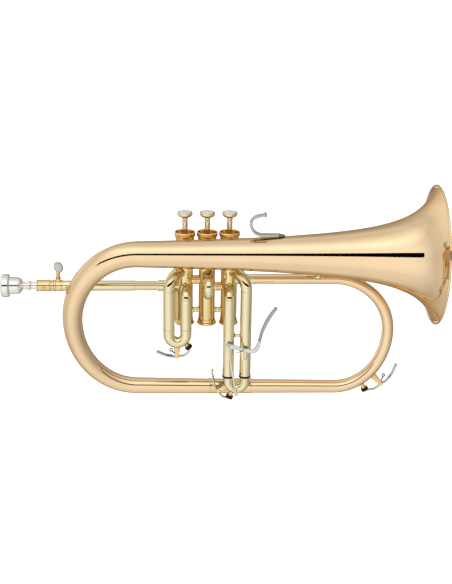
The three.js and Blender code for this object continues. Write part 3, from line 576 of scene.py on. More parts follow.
def make_tuning_pipe():
    place, lead = Place("tuning_pipe"), Place("leadpipe")
    body, ring, lip = RECEIVER_RADIUS - 0.15, RECEIVER_RADIUS + 0.3, RECEIVER_RADIUS + 0.35
    neck, length = lead.low.x - place.low.x - 0.3, place.size.x
    profile = [
        (5, 0), (lip, 0), (lip, 1.3), (body, 1.6), (body, 13.2), (ring, 13.5), (ring, 14.9), (5.6, 15.3),
        (5.6, 16.4), (6.3, 16.8), (6.3, neck), (4.8, neck), (4.8, length), (4.3, length),
        (4.3, 17.1), (5, 17.1),
    ]
    piece("mouthpiece_receiver", "yellow_brass", "tuning_pipe",
          turned(profile, "x", at(place.low.x, 0, 0), 64, 0.25), replaces="tuning_pipe", finish="brass_painted_shade")
    stud = turned([(0, 1), (2.4, 1), (2.4, -0.9), (1.7, -1.3), (1.5, -0.8), (0, -0.6)], "y",
                  at(place.low.x + 8, 0.3 - RECEIVER_RADIUS, -0.9), 28, 0.15)
    piece("receiver_stud", "yellow_brass", "tuning_pipe", stud, finish="gold_painted_reflection")


def make_leadpipe():
    place = Place("leadpipe")
    length, top = place.size.x, place.high.z
    collar, end = LEADPIPE_COLLAR
    bore, radius, waist = LEADPIPE_BORE, LEADPIPE_RADIUS, collar - 0.5
    start = at(place.low.x, 0, 0)
    slim = radius - 0.35
    tube = turned([(bore, end), (radius, end), (radius, LEADPIPE_JOINT), (slim, LEADPIPE_JOINT + 0.1),
                   (slim, length), (bore, length)], "x", start, 56, 0.2)
    brass("lead_tube", tube, replaces="leadpipe")
    ring = turned([(bore, 0), (collar, 0), (collar, 1.4), (waist, 1.8), (waist, end - 1.8),
                   (collar, end - 1.4), (collar, end), (radius, end + 0.4), (bore, end + 0.4)], "x",
                  start, 56, 0.2)
    lug = turned([(1.7, collar - 1), (3, collar - 1), (3, collar + 0.8), (2.6, collar + 1.2),
                  (2.9, collar + 1.7), (2.9, top), (1.7, top)], "z", at(place.low.x + end / 2, 0, 0), 32)
    brass("lead_collar", ring, lug, finish="brass_painted_shade")


def make_lead_ferrule():
    place, casing = Place("leadpipe_ferrule"), Place("casing_1").mid
    radius = place.size.z / 2
    start, end = at(place.low.x, 0, 0), at(place.high.x, 0, 0)
    sleeve = swept(even(radius - 0.15, [end, start]), circle(48), wall=0.8, casings=[(0, casing)])
    lip = band(LEADPIPE_BORE, radius, 0, 1.5, "x", start)
    brass("lead_ferrule", sleeve, lip, replaces="leadpipe_ferrule")


def make_clamp_screw():
    place, lead = Place("clamp_screw"), Place("leadpipe")
    centre = at(pivot("clamp_screw_turn").x, 0, 0)
    low, seat = place.low.z, lead.high.z + 0.3
    half_height = PADDLE_HALF_SIZE[2]
    foot = place.high.z - 2 * half_height
    shank = turned([(0, low), (1.6, low), (1.6, seat), (2.6, seat), (2.6, seat + 1.6), (1.6, seat + 2.2),
                    (0, seat + 2.2)], "z", centre, 36)
    neck = turned([(0, seat + 2), (1.7, seat + 2), (1.8, foot - 2), (2.5, foot - 1.2), (2.5, foot + 0.4),
                   (1.6, foot + 1.4), (0, foot + 1.4)], "z", centre, 36)
    piece("clamp_neck", "nickel", "clamp_screw", neck, finish="gold_painted_reflection")
    paddle = turned([(0, -0.9), (0.72, -0.9), (1, 0), (0.72, 0.9), (0, 0.9)], "y", at(0, 0, 0), 48, 0.1)
    middle = centre + at(PADDLE_SHIFT, 0, place.high.z - half_height)
    tilt = Matrix.Rotation(PADDLE_TILT, 4, "Y")
    paddle.transform(Matrix.Translation(middle * MM) @ tilt @ Matrix.Diagonal((*PADDLE_HALF_SIZE, 1)))
    piece("clamp_thumbscrew", "nickel", "clamp_screw", shank, paddle, replaces="clamp_screw",
          finish="nickel_painted_shade")


# ---- Valves ----

def make_casing(number):
    place = Place(f"casing_{number}")
    tube = band(CASING_RADIUS - CASING_WALL, CASING_RADIUS, place.low.z, place.high.z, "z",
                at(*place.mid.xy, 0), 64, 0.2)
    # The casing's finish paints shade: warmer brass with orange-brown edges for the reflections between the
    # casings.
    brass(f"valve_casing_{number}", tube, replaces=f"casing_{number}", finish="brass_painted_shade")


def make_top_cap(number):
    place = Place(f"top_cap_{number}")
    centre = at(*place.mid.xy, 0)
    radius, rim, skirt = place.size.x / 2, place.high.z, place.low.z
    floor = rim - 7.3
    cap = turned([
        (9.4, skirt), (10, skirt), (10, skirt + 6), (10.3, rim - 6.6), (radius - 0.4, rim - 5.2),
        (radius, rim - 4.2), (radius, rim - 1.5), (radius - 0.4, rim - 0.4), (radius - 1.1, rim),
        (9.9, rim - 0.2), (9.5, rim - 1.2), (9.3, floor), (3.75, floor), (3.75, floor - 3.3),
        (9.4, floor - 3.3)], "z", centre, 64, 0.3)
    # The caps' finish paints the bell's reflection: a deeper orange gold than the brass they are made of.
    brass(f"valve_top_cap_{number}", cap, replaces=f"top_cap_{number}", finish="gold_painted_reflection")
    felt = band(3.5, 8.6, floor + 0.05, floor + 1.2, "z", centre, 48)
    piece(f"cap_felt_{number}", "rubber", "horn", felt, finish="felt")


def make_bottom_cap(number):
    place = Place(f"bottom_cap_{number}")
    base, edge = place.low.z, place.size.x / 2
    cap = turned([
        (0, base + 1.2), (3.2, base + 1.2), (3.8, base + 0.3), (edge - 0.9, base), (edge, base + 0.9),
        (edge, base + 2), (edge - 0.6, base + 2.7), (9.9, base + 3.6), (9.5, base + 5), (9.4, place.high.z),
        (9.3, base + 3.3), (0, base + 3.3)], "z", at(*place.mid.xy, 0), 64, 0.25)
    brass(f"valve_bottom_cap_{number}", cap, replaces=f"bottom_cap_{number}", finish="gold_painted_reflection")


def make_valve_spring(number):
    """A piston's return spring, a coil with closed ends, on a mesh of its own."""
    place, centre = Place(f"valve_spring_{number}"), Place(f"casing_{number}").mid
    radius = place.size.y / 2 - SPRING_WIRE
    low, high = place.low.z + SPRING_WIRE, place.high.z - SPRING_WIRE
    path = []
    for i in range(SPRING_TURNS * SPRING_STEPS + 1):
        turn = i / SPRING_STEPS
        share = min(max((turn - SPRING_CLOSED) / (SPRING_TURNS - 2 * SPRING_CLOSED), 0), 1)
        angle = math.tau * turn
        path.append(at(centre.x + radius * math.cos(angle), centre.y + radius * math.sin(angle),
                       low + (high - low) * share))
    spring = piece(f"return_spring_{number}", "steel", "horn", wire(path, SPRING_WIRE, AXES["z"][0]),
                   replaces=f"valve_spring_{number}")
    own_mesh(spring)


def make_finger_piece(number):
    stem, button, pearl = (Place(f"{name}_{number}") for name in ("stem", "button", "pearl"))
    centre, body = at(*stem.mid.xy, 0), f"valve_{number}"
    radius, low, high = stem.size.x / 2, stem.low.z, stem.high.z
    shaft = turned([(0, low), (radius, low), (radius, high - 3), (radius + 0.3, high - 1),
                    (radius + 0.4, high), (0, high)], "z", centre, 40)
    piece(f"valve_stem_{number}", "yellow_brass", body, shaft, replaces=f"stem_{number}", finish="silver")
    radius, low, high = button.size.x / 2, button.low.z, button.high.z
    head = turned([
        (0, low), (3.8, low), (5.6, low + 0.5), (7.4, low + 1.5), (radius - 0.3, low + 2.7),
        (radius, low + 3.8), (radius - 0.2, high - 1), (radius - 0.6, high - 0.2), (7.5, high),
        (7.1, high - 0.3), (7.1, high - 0.9), (0, high - 0.9)], "z", centre, 56, 0.25)
    piece(f"finger_button_{number}", "yellow_brass", body, head, replaces=f"button_{number}")
    low, high = pearl.low.z, pearl.high.z
    inlay = turned([(0, low - 0.2), (6.9, low - 0.2), (6.9, low + 0.4), (5.4, high), (2.6, high + 0.4),
                    (0, high + 0.5)], "z", centre, 48, 0.2)
    piece(f"pearl_inlay_{number}", "pearl", body, inlay, replaces=f"pearl_{number}")


def make_valve_links():
    """The transfer tubes and the spool-shaped braces between neighbouring casings."""
    for pair in ("12", "23"):
        left, right = (Place(f"casing_{number}").mid for number in pair)
        tube, brace = Place(f"transfer_tube_{pair}"), Place(f"casing_brace_{pair}")
        ends = [at(left.x + TUBE_ROOT, 0, tube.mid.z), at(right.x - TUBE_ROOT, 0, tube.mid.z)]
        radius, crest = tube.size.z / 2, tube.size.z / 2 + 0.35
        link = swept(even(radius, ends), circle(40), wall=0.6, casings=[(0, left), (-1, right)])
        bead = turned([(radius - 0.3, -1.1), (crest, -0.8), (crest, 0.8), (radius - 0.3, 1.1)], "x",
                      at(tube.mid.x, 0, tube.mid.z), 40, 0.2)
        brass(f"transfer_link_{pair}", link, bead, replaces=f"transfer_tube_{pair}", finish="gold_painted_reflection")
        wide = brace.size.z / 2
        half = ((7, wide), (5.6, wide - 0.2), (4.6, wide - 0.9), (3.8, wide - 0.9), (3.2, wide - 0.5))
        spool = [(-along, radius) for along, radius in half] + list(reversed(half))
        post = swept([(at(tube.mid.x + along / 2, 0, brace.mid.z), both(radius)) for along, radius in spool],
                     circle(40), casings=[(0, left), (-1, right)])
        brass(f"casing_post_{pair}", post, replaces=f"casing_brace_{pair}")


def make_casing_upright():
    """The narrow upright that stands behind the first slide's legs, beside the first casing."""
    casing, cap, ferrule = Place("casing_1"), Place("bottom_cap_1"), Place("leadpipe_ferrule")
    radius, waist, shank = UPRIGHT_RADIUS, UPRIGHT_RADIUS - 0.6, UPRIGHT_RADIUS - 0.3
    top, foot = ferrule.mid.z - 3, cap.high.z + 0.5
    upright = turned([(0, foot), (radius, foot), (radius, foot + 1.4), (waist, foot + 1.9),
                      (waist, foot + 3.6), (radius, foot + 4.1), (radius, foot + 5.6), (shank, foot + 6),
                     (shank, top), (0, top)], "z", at(casing.low.x + 0.4, -9.2, 0), 36, 0.2)
    brass("casing_upright", upright)


# ---- Slides ----

def make_elbow_tubes(slide, casing, far, near):
    """A slide's two outer tubes: each out of the casing, round an elbow and down."""
    for side, leg, bend, ring_z in (("outer", far, OUTER_BEND, OUTER_RING_Z),
                                    ("inner", near, INNER_BEND, INNER_RING_Z)):
        place = Place(f"{slide}_tube_{side}")
        z = place.high.z - SLIDE_OUTER
        axis, corner, end = at(casing.x, 0, z), at(leg.x, leg.y, z), at(leg.x, leg.y, place.low.z)
        out = (corner - axis).normalized()
        elbow = quarter(corner - out * bend, corner, at(leg.x, leg.y, z - bend))
        stations = even(SLIDE_OUTER, [axis + out * TUBE_ROOT, elbow[0]], elbow, [elbow[-1], end])
        tube = swept(stations, circle(48), out.cross(AXES["z"][0]), SLIDE_OUTER - SLIDE_OUTER_BORE,
                     casings=[(0, casing)])
        root, crest = SLIDE_OUTER - 0.2, SLIDE_OUTER + 0.3
        solder_ring = turned([(root, -0.6), (crest, -0.35), (crest, 0.35), (root, 0.6)], "z",
                             at(leg.x, leg.y, ring_z), 48, 0.05)
        lip = band(SLIDE_OUTER_BORE, SLIDE_OUTER + 0.2, 0, 1.4, "z", end, 48, 0.15)
        brass(f"{slide}_{side}_tube", tube, solder_ring, lip, replaces=f"{slide}_tube_{side}")


def bow_shape(near, far, top, bow_z, step_z=None):
    """A sliding bow. Its legs swell to the outer size below step_z."""
    wide = SLIDE_OUTER if step_z else SLIDE_INNER
    step = step_z or bow_z + 1
    middle = (near + far) / 2
    low = bow_z - (far.x - near.x) / 2

    def spot(point, z):
        return at(point.x, point.y, z)

    stations = (
        even(SLIDE_INNER, [spot(near, top), spot(near, step + 0.02)])
        + even(wide, [spot(near, step), spot(near, bow_z)],
               quarter(spot(near, bow_z), spot(near, low), spot(middle, low), 16),
               quarter(spot(middle, low), spot(far, low), spot(far, bow_z), 16),
               [spot(far, bow_z), spot(far, step)])
        + even(SLIDE_INNER, [spot(far, step + 0.02), spot(far, top)]))
    return swept(stations, circle(48), wall=SLIDE_INNER - SLIDE_BORE)


def make_first_slide():
    slide, tube = Place("first_slide"), Place("first_tube_outer")
    far = at(tube.low.x + SLIDE_OUTER, tube.low.y + SLIDE_OUTER, 0)
    near = far + at(SLIDE_PITCH, 0, 0)
    make_elbow_tubes("first", Place("casing_1").mid, far, near)
    bow = bow_shape(far, near, slide.high.z, tube.low.z - SLIDE_OUTER, tube.low.z - 0.3)
    piece("first_bow", "yellow_brass", "first_slide", bow, replaces="first_slide")


def make_third_slide():
    slide, tube = Place("third_slide"), Place("third_tube_outer")
    y = tube.low.y + SLIDE_OUTER
    far = at(tube.high.x - SLIDE_OUTER, y, 0)
    near = far - at(SLIDE_PITCH, 0, 0)
    make_elbow_tubes("third", Place("casing_3").mid, far, near)
    bow = bow_shape(near, far, slide.high.z, tube.low.z - THIRD_BOW_DROP)
    foot = pivot("link_rod_turn")
    stud = rod(at(foot.x, y - 4, foot.z), foot - at(0, 1, 0), 1)
    washer = turned([(0, 0), (2, 0), (2, 1.1), (0, 1.6)], "y", at(foot.x, y - SLIDE_INNER - 1.5, foot.z), 28)
    piece("third_bow", "yellow_brass", "third_slide", bow, stud, washer, replaces="third_slide")
    for side, leg in (("inner", near), ("outer", far)):
        place = Place(f"third_bumper_{side}")
        low, high, hole = place.low.z, place.high.z, SLIDE_INNER + 0.05
        outline = [(hole, low), (6.6, low), (7, place.mid.z), (6.6, high), (hole, high)]
        ring = turned(outline, "z", leg, 48, 0.5)
        piece(f"bumper_{side}", "rubber", "third_slide", ring, replaces=f"third_bumper_{side}")
    brace = Place("third_tube_brace")
    foot_radius, waist = brace.size.z / 2 + 0.8, brace.size.z / 2 - 0.3
    half = brace.size.x / 2 + 0.4
    post = turned([(0, -half), (foot_radius, -half), (waist, 1.2 - half), (waist, half - 1.2),
                   (foot_radius, half), (0, half)], "x", brace.mid, 36, 0.4)
    brass("third_tube_post", post, replaces="third_tube_brace")


def make_second_slide():
    slide, casing = Place("second_slide"), Place("casing_2").mid
    sides = ("upper", "lower")
    high, low = (Place(f"second_tube_{side}").mid.z for side in sides)
    x, end = slide.mid.x, Place("second_tube_upper").low.y
    across = AXES["x"][0]
    for side, z in zip(sides, (high, low)):
        tube = swept(even(SLIDE_OUTER, [at(x, -TUBE_ROOT, z), at(x, end, z)]), circle(48), across,
                     SLIDE_OUTER - SLIDE_OUTER_BORE, casings=[(0, casing)])
        lip = band(SLIDE_OUTER_BORE, SLIDE_OUTER + 0.2, 0, 1.2, "y", at(x, end, z), 48, 0.15)
        brass(f"second_{side}_tube", tube, lip, replaces=f"second_tube_{side}")
    bend = (high - low) / 2
    back, front = slide.high.y, slide.low.y + SLIDE_INNER
    middle = at(x, front, (high + low) / 2)
    upper, lower = at(x, front + bend, high), at(x, front + bend, low)
    stations = even(SLIDE_INNER, [at(x, back, high), upper], quarter(upper, at(x, front, high), middle, 14),
                    quarter(middle, at(x, front, low), lower, 14), [lower, at(x, back, low)])
    piece("second_bow", "yellow_brass", "second_slide", swept(stations, circle(48), across, SECOND_BOW_WALL),
          replaces="second_slide")


# ---- Water keys ----

def key_plan(joint, root, angle, depth, pad_at, post, lever, coil):
    """A water key's places, given as (x, z) from its hinge: nipple root, post foot, lever and spring coil.

    The nipple stands at an angle from straight down, positive towards +X. It starts at a depth inside the
    tube, and the pad's middle is pad_at from its root.
    """
    hinge = pivot(joint)

    def place(spot):
        return hinge + at(spot[0], 0, spot[1])

    way = at(math.sin(angle), 0, -math.cos(angle))
    return {"hinge": hinge, "root": place(root), "way": way, "depth": depth, "pad_at": pad_at,
            "post": place(post), "lever": [place(spot) for spot in lever], "coil": place(coil)}


FIRST_KEY = key_plan(
    "first_key_turn", (10.4, 13.6), 0.7, 1.2, 4.1, (0, 12.1),
    [(-22.8, 5.6), (-12.5, 0.9), (-5, -0.7), (0, -0.3), (7.7, 0.6), (12.4, 4.3), (14.2, 8.6)], (-6.8, 7.4))
THIRD_KEY = key_plan(
    "third_key_turn", (14.7, -2.4), -0.38, 1.2, 6.2, (10.9, 6),
    [(-6.9, 24.9), (-7, 18.5), (-4, 5.6), (-0.4, -1.2), (4.9, -7.8), (11.4, -9.8)], (2.4, 8.2))
BOW_KEY = key_plan(
    "bow_key_turn", (-20.5, -2.4), 0.51, 5.5, 5.3, (-10.3, 10.9),
    [(16.6, 23.9), (12.4, 11.9), (6.2, 3.6), (0.4, -0.9), (-6.8, -6.6), (-15.6, -8.2)], (3, 10.2))


def key_seat(plan):
    """A water key's nipple on a tube, and the post with two ears that carries its hinge."""
    root, way, hinge, post = plan["root"], plan["way"], plan["hinge"], plan["post"]
    end = root + way * (plan["pad_at"] - PAD_HALF - 0.9)
    shapes = [
        rod(root - way * plan["depth"], end, NIPPLE_RADIUS),
        rod(end - way * 0.9, end, NIPPLE_RADIUS + 1),
        swept(route(([post, post.lerp(hinge, 0.6)], (2.9, 3.7), (2.4, 2.9))), rounded_square()),
    ]
    for side in (-1, 1):
        shift = at(0, EAR_SHIFT * side, 0)
        ear = [post.lerp(hinge, 0.45) + shift, hinge + shift]
        shapes.append(swept(route((ear, (0.8, 2.6), (0.7, 2.4))), rounded_square()))
        shapes.append(band(0, 2.5, -0.9, 0.9, "y", ear[1], 32))
    return shapes


def spring_coil(plan):
    """A coil of wire beside the post, its two ends laid along the post and the lever."""
    centre, hinge = plan["coil"], plan["hinge"]
    away = (centre - hinge).normalized()
    across = away.cross(AXES["y"][0])
    path = [hinge + away * COIL_LEG - at(0, 0.8, 0)]
    for i, y in enumerate(evenly(COIL_WIDTH / 2, COIL_TURNS * COIL_STEPS)):
        angle = math.tau * i / COIL_STEPS
        path.append(centre + (across * math.sin(angle) - away * math.cos(angle)) * COIL_RADIUS + at(0, y, 0))
    path.append(hinge + away * COIL_LEG + at(0, 1.6, 0))
    return wire(path, COIL_WIRE, AXES["y"][0])


def make_water_key(name, plan, node, base):
    """A sprung lever with a hinge tube in its middle, a pad cup on its short arm and a coil spring."""
    hinge, way = plan["hinge"], plan["way"]
    pad = plan["root"] + way * plan["pad_at"]
    cup_floor = pad + way * (PAD_HALF - 0.5)
    blade, finger = through(plan["lever"], 6), through(plan["lever"][:2], 3)
    last = len(blade) - 1
    lever = [(point, Vector((3 - 1.5 * abs(i / last - 0.15), 0.95))) for i, point in enumerate(blade)]
    grip = [(point, Vector((3.1, 1.2 - 0.25 * i / len(finger)))) for i, point in enumerate(finger)]
    piece(f"{name}_lever", "nickel", node, swept(lever, rounded_square()), swept(grip, rounded_square()),
          band(0, 1.9, -1, 1, "y", hinge, 32, 0.2), rod(cup_floor, pad + way * PAD_HALF, PAD_RADIUS, 0.3, 40),
          replaces=node, finish="nickel_painted_shade")
    disc = rod(pad - way * (PAD_HALF + 0.6), cup_floor, PAD_RADIUS - 0.1, 0.25, 40)
    piece(f"{name}_pad", "rubber", node, disc)
    lift = (plan["coil"] - hinge).normalized() * 1.7
    tail = [(point + lift, Vector((2, 0.8))) for point in blade[last // 5:last // 2 - 4]]
    piece(f"{name}_spring_tail", "nickel", node, swept(tail, rounded_square()), finish="steel")
    piece(f"{name}_spring", "nickel", base, spring_coil(plan), finish="steel")
    piece(f"{name}_seat", "yellow_brass", base, *key_seat(plan), finish="gold_painted_reflection")
    screw = rod(hinge - at(0, 3.2, 0), hinge + at(0, 3.2, 0), 0.9)
    head = turned([(0, -3.8), (1.4, -3.6), (1.9, -2.9), (0, -2.9)], "y", hinge, 28, 0.3)
    piece(f"{name}_screw", "steel", base, screw, head, finish="yellow_brass")


# ---- Third-slide trigger ----

# The lever's course as (x, z) from its hinge, its half sizes there, and where its spoon starts.
TRIGGER_PATH = ((-19.7, 6), (-10, 3.4), (-2, 0.9), (3.2, 0.1), (8.6, -0.8), (13, 3.7), (15.4, 12.1),
                (17.6, 22), (21.7, 32.3), (26.9, 42.1), (32, 49.3))
TRIGGER_SIZES = ((1, 2.7), (1, 2.5), (1.1, 1.9), (1.3, 2.2), (1.7, 2.5), (2.2, 2.4), (2.6, 1.8), (2.8, 1.8),
                 (2.8, 1.9), (2.8, 1.9), (2.7, 1.8))
TRIGGER_NECK = 6
TRIGGER_STEPS = 7
TRIGGER_WIRE = ((-1.6, 0.8), (-3.4, 0.3), (-7, -0.7), (-11, -1.6))


def make_trigger():
    """The saddle on the third slide's outer tube, and the column and pin that carry the lever."""
    saddle, hinge = Place("trigger_saddle"), pivot("trigger_turn")
    front = saddle.high.y
    reach = SLIDE_OUTER + 0.25
    centre = at(hinge.x - 0.8, front + reach - 0.2, 0)
    plate = []
    for u in evenly(1, 14):
        arc = evenly(SADDLE_HALF_ANGLE * math.sqrt(max(1 - u * u, 0.02)), 10)
        z = saddle.mid.z + u * saddle.size.z / 2
        outer, inner = ([centre + at(radius * math.sin(a), -radius * math.cos(a), z) for a in arc]
                        for radius in (reach + 0.8, reach))
        plate.append(outer + inner[::-1])
    stand = at(hinge.x, front - 2.2, 0)
    foot, top = saddle.low.z + 2.5, hinge.z - 3.2
    column = turned([(0, foot), (1.7, foot), (2.3, foot + 2), (1.9, foot + 4), (2, top), (0, top)], "z",
                    stand, 36)
    piece("trigger_post", "nickel", "horn", skin(plate), column, replaces="trigger_saddle",
          finish="yellow_brass")
    end = top + 2.4
    collar = turned([(0, top), (2.3, top), (2.3, top + 1.6), (1.5, top + 2), (1.5, end), (0, end)], "z",
                    stand, 36, 0.2)
    pin = rod(at(hinge.x, front, hinge.z), hinge - at(0, 1.3, 0), 1.2)
    piece("trigger_collar", "nickel", "horn", collar, pin)
    cap = turned([(0, 1.2), (2.5, 1.2), (2.5, 2.4), (2, 3), (0, 3.1)], "z",
                 stand + at(0, 0, hinge.z - 0.4), 32)
    piece("trigger_cap", "nickel", "horn", cap, finish="steel")


def make_trigger_lever():
    """The lever with its finger spoon, and the torsion spring's wire along it."""
    hinge, section = pivot("trigger_turn"), rounded_square(28, 0.55)
    path = through([hinge + at(x, 0, z) for x, z in TRIGGER_PATH], TRIGGER_STEPS)
    sizes = through([Vector(size) for size in TRIGGER_SIZES], TRIGGER_STEPS)
    stations = list(zip(path, sizes))
    neck = TRIGGER_STEPS * TRIGGER_NECK
    piece("trigger_arm", "nickel", "trigger_lever", swept(stations[:neck + 3], section),
          band(0, 2.4, -1.1, 1.1, "y", path[0], 32), band(0, 2.5, -1.2, 1.2, "y", hinge, 36),
          replaces="trigger_lever")
    piece("trigger_spoon", "nickel", "trigger_lever", swept(stations[neck:], section),
          band(0, 2, -2.9, 2.9, "y", path[-1], 32, 1), finish="dull_nickel")
    points = through([hinge + at(x, -1.7, z) for x, z in TRIGGER_WIRE], 4)
    piece("trigger_spring", "nickel", "trigger_lever", wire(points, 0.45, AXES["y"][0], 12), finish="steel")


def make_link_rod():
    """The rod from the lever's short end down to the sliding bow, with a fork at its top."""
    foot, hinge = pivot("link_rod_turn"), pivot("trigger_turn")
    top = at(hinge.x + TRIGGER_PATH[0][0], foot.y, hinge.z + TRIGGER_PATH[0][1])
    way = (top - foot).normalized()
    bar = swept(even(0.95, [foot + way * 2, top - way * 3.4]), rounded_square())
    fork = swept(route(([top - way * 4.6, top - way * 2.2], (1, 1.3), (1, 2)),
                       ([top - way * 2.1, top + way * 1.2], (1, 2), (1, 2.1))), rounded_square())
    block = swept(even((1, 2.2), [foot - way * 2.3, foot + way * 2.3]), rounded_square())
    pin = band(0, 1.2, -1.5, 0.9, "y", top, 28)
    piece("trigger_link", "nickel", "link_rod", bar, fork, block, pin, replaces="link_rod")
    head = turned([(0, -1.6), (1.9, -1.4), (1.9, -1.05), (0, -1.05)], "y", foot, 28, 0.2)
    piece("link_foot_screw", "nickel", "third_slide", head)


# ---- Braces and finger hook ----

def make_valve_brace():
    """The post from the casings back to the bell."""
    place = Place("bell_valve_brace")
    foot_radius, waist = place.size.z / 2 + 0.1, place.size.z / 2 - 0.7
    low, high = place.low.y, place.high.y
    post = turned([(0, low), (foot_radius, low), (waist, low + 2), (waist, high - 2), (foot_radius, high),
                   (0, high)], "y", at(place.mid.x, 0, place.mid.z), 40, 0.5)
    brass("valve_brace_post", post, replaces="bell_valve_brace")


def make_lead_brace():
    """The short slanting post from the leadpipe to the back of the bell bow."""
    place = Place("leadpipe_brace")
    radius, half = place.size.z / 2, place.size.y / 2
    steps = ((0, radius + 1.2), (0.15, radius + 0.8), (0.35, radius), (0.7, radius), (1, radius + 1))
    post = spindle(place.mid + at(-7, half, -3), place.mid - at(0, half, 0), steps, AXES["z"][0])
    brass("lead_brace_post", post, replaces="leadpipe_brace", finish="gold_painted_reflection")


def flange(centre, reach, thickness, half_length, half_angle, facing):
    """A diamond plate wrapped round a tube along X, centred on a direction in the YZ plane."""
    rings = []
    for u in evenly(1, 20):
        arc = [facing + turn for turn in evenly(half_angle * max(1 - abs(u) ** 1.15, 0.03), 12)]
        x = u * half_length
        outer, inner = ([centre + at(x, radius * math.cos(a), radius * math.sin(a)) for a in arc]
                        for radius in (reach + thickness, reach))
        rings.append(outer + inner[::-1])
    return skin(rings)


def make_bell_brace():
    """The post from the right bow's upper tube to the bell, with its diamond flange on the tube."""
    foot = at(Place("bell_brace").mid.x, 0, Place("exit_ferrule").mid.z)
    to_bell = BELL_AXIS - at(0, 0, foot.z)
    way, reach = to_bell.normalized(), RIGHT_BOW_RADII[3]
    end = foot + way * (to_bell.length - bell_radius(foot.x) - 0.3)
    steps = ((0, 3.6), (0.08, 2.5), (0.3, 2.1), (0.5, 2.6), (0.7, 2.1), (0.92, 2.5), (1, 3.6))
    post = spindle(foot + way * (reach + 0.3), end, steps, AXES["x"][0])
    plate = flange(foot, reach + 0.05, 0.9, 12, FLANGE_HALF_ANGLE, math.atan2(to_bell.z, to_bell.y))
    brass("bell_brace_post", post, plate, replaces="bell_brace")


# The foot as (x, height over the bell), the loop as (x, z), and half width and half height along both.
HOOK_FOOT = ((83, 1.2), (76, 2.1), (66, 2.6), (56, 3.6))
HOOK_LOOP = ((49.6, 71.6), (46.4, 77.6), (46.4, 83.3), (49.6, 87.3), (54.5, 89.2), (61, 90.4))
HOOK_SIZES = ((1, 0.8), (3.6, 1.5), (4.8, 1.5), (5.2, 1.4), (5.2, 1.5), (5, 1.5), (4.6, 1.5), (4.2, 1.5),
              (3.9, 1.4), (3.7, 1.4))
HOOK_STEPS = 7


def make_finger_hook():
    """The little finger's hook, and the dark toe at the end of its foot."""
    y, section = Place("finger_hook").mid.y, rounded_square(28, 0.5)
    foot = [at(x, y, BELL_AXIS.z + bell_radius(x) + lift) for x, lift in HOOK_FOOT]
    path = through(foot + [at(x, y, z) for x, z in HOOK_LOOP], HOOK_STEPS)
    sizes = [Vector(size) for size in HOOK_SIZES]
    hook = swept(list(zip(path, through(sizes, HOOK_STEPS))), section)
    tip = band(1, 2, -3.8, 3.8, "y", path[-1], 32, 0.4)
    piece("little_finger_hook", "nickel", "horn", hook, tip, replaces="finger_hook", finish="nickel_painted_shade")
    toe_sizes = through([size + both(0.1) for size in sizes[:2]], HOOK_STEPS)
    piece("finger_hook_toe", "nickel", "horn", swept(list(zip(path, toe_sizes)), section), finish="steel")


# ---- Floor, light and camera ----

def level_sheet(name, size_x, size_y, place, shades):
    """A flat sheet of the studio, with its finish."""
    mesh = bmesh.new()
    bmesh.ops.create_grid(mesh, x_segments=1, y_segments=1, size=0.5)
    data = bpy.data.meshes.new(name)
    mesh.to_mesh(data)
    mesh.free()
    data.materials.append(surface(f"{name}_paint", *shades, *MATT_PAINT, metallic=0, shine=0))
    sheet = bpy.data.objects.new(name, data)
    sheet.scale = (size_x, size_y, 1)
    sheet.location = place
    scene.collection.objects.link(sheet)
    return sheet


def make_floor():
    place = (0, 0, cad_bounds[0].z - FLOOR_DROP * MM)
    floor = level_sheet("floor", FLOOR_SIZE_M, FLOOR_SIZE_M, place, FLOOR_SHADES)
    floor.visible_glossy = False


def make_slit():
    """The dark gap in the tent in front of the horn, which only the polished metal sees."""
    left, right = SLIT_ENDS_M
    y, z = SLIT_PLACE_M
    slit = level_sheet("tent_slit", right - left, SLIT_WIDTH_M, ((left + right) / 2, y, z), SLIT_SHADES)
    slit.rotation_euler.x = math.atan2(-y, z)
    slit.visible_camera = False
    slit.visible_diffuse = False
    slit.visible_transmission = False
    slit.visible_shadow = False


def make_light():
    scene.view_settings.view_transform = "Standard"
    lamp = bpy.data.lights.new("overhead", "AREA")
    lamp.shape = "DISK"
    lamp.size = LAMP_SIZE_M
    lamp.energy = LAMP_ENERGY
    overhead = bpy.data.objects.new("overhead", lamp)
    overhead.location.z = LAMP_HEIGHT_M
    overhead.visible_glossy = False
    scene.collection.objects.link(overhead)
    make_surroundings()
    make_slit()


def shade_along(nodes, links, value, shades):
    """A brightness that follows a value from -1 to 1, by (value, brightness) pairs."""
    shift = nodes.new("ShaderNodeMapRange")
    shift.inputs["From Min"].default_value = -1
    links.new(value, shift.inputs["Value"])
    scale = nodes.new("ShaderNodeValToRGB")
    stops = scale.color_ramp.elements
    while len(stops) < len(shades):
        stops.new(0.5)
    for stop, (position, shade) in zip(stops, shades):
        stop.position = (position + 1) / 2
        stop.color = (shade, shade, shade, 1)
    links.new(shift.outputs["Result"], scale.inputs["Fac"])
    return scale.outputs["Color"]


def vector_step(nodes, links, operation, first, second):
    """A vector operation on two sockets, or on a socket and a plain vector."""
    step = nodes.new("ShaderNodeVectorMath")
    step.operation = operation
    links.new(first, step.inputs[0])
    if isinstance(second, tuple):
        step.inputs[1].default_value = second
    else:
        links.new(second, step.inputs[1])
    return step.outputs["Value" if operation == "DOT_PRODUCT" else "Vector"]


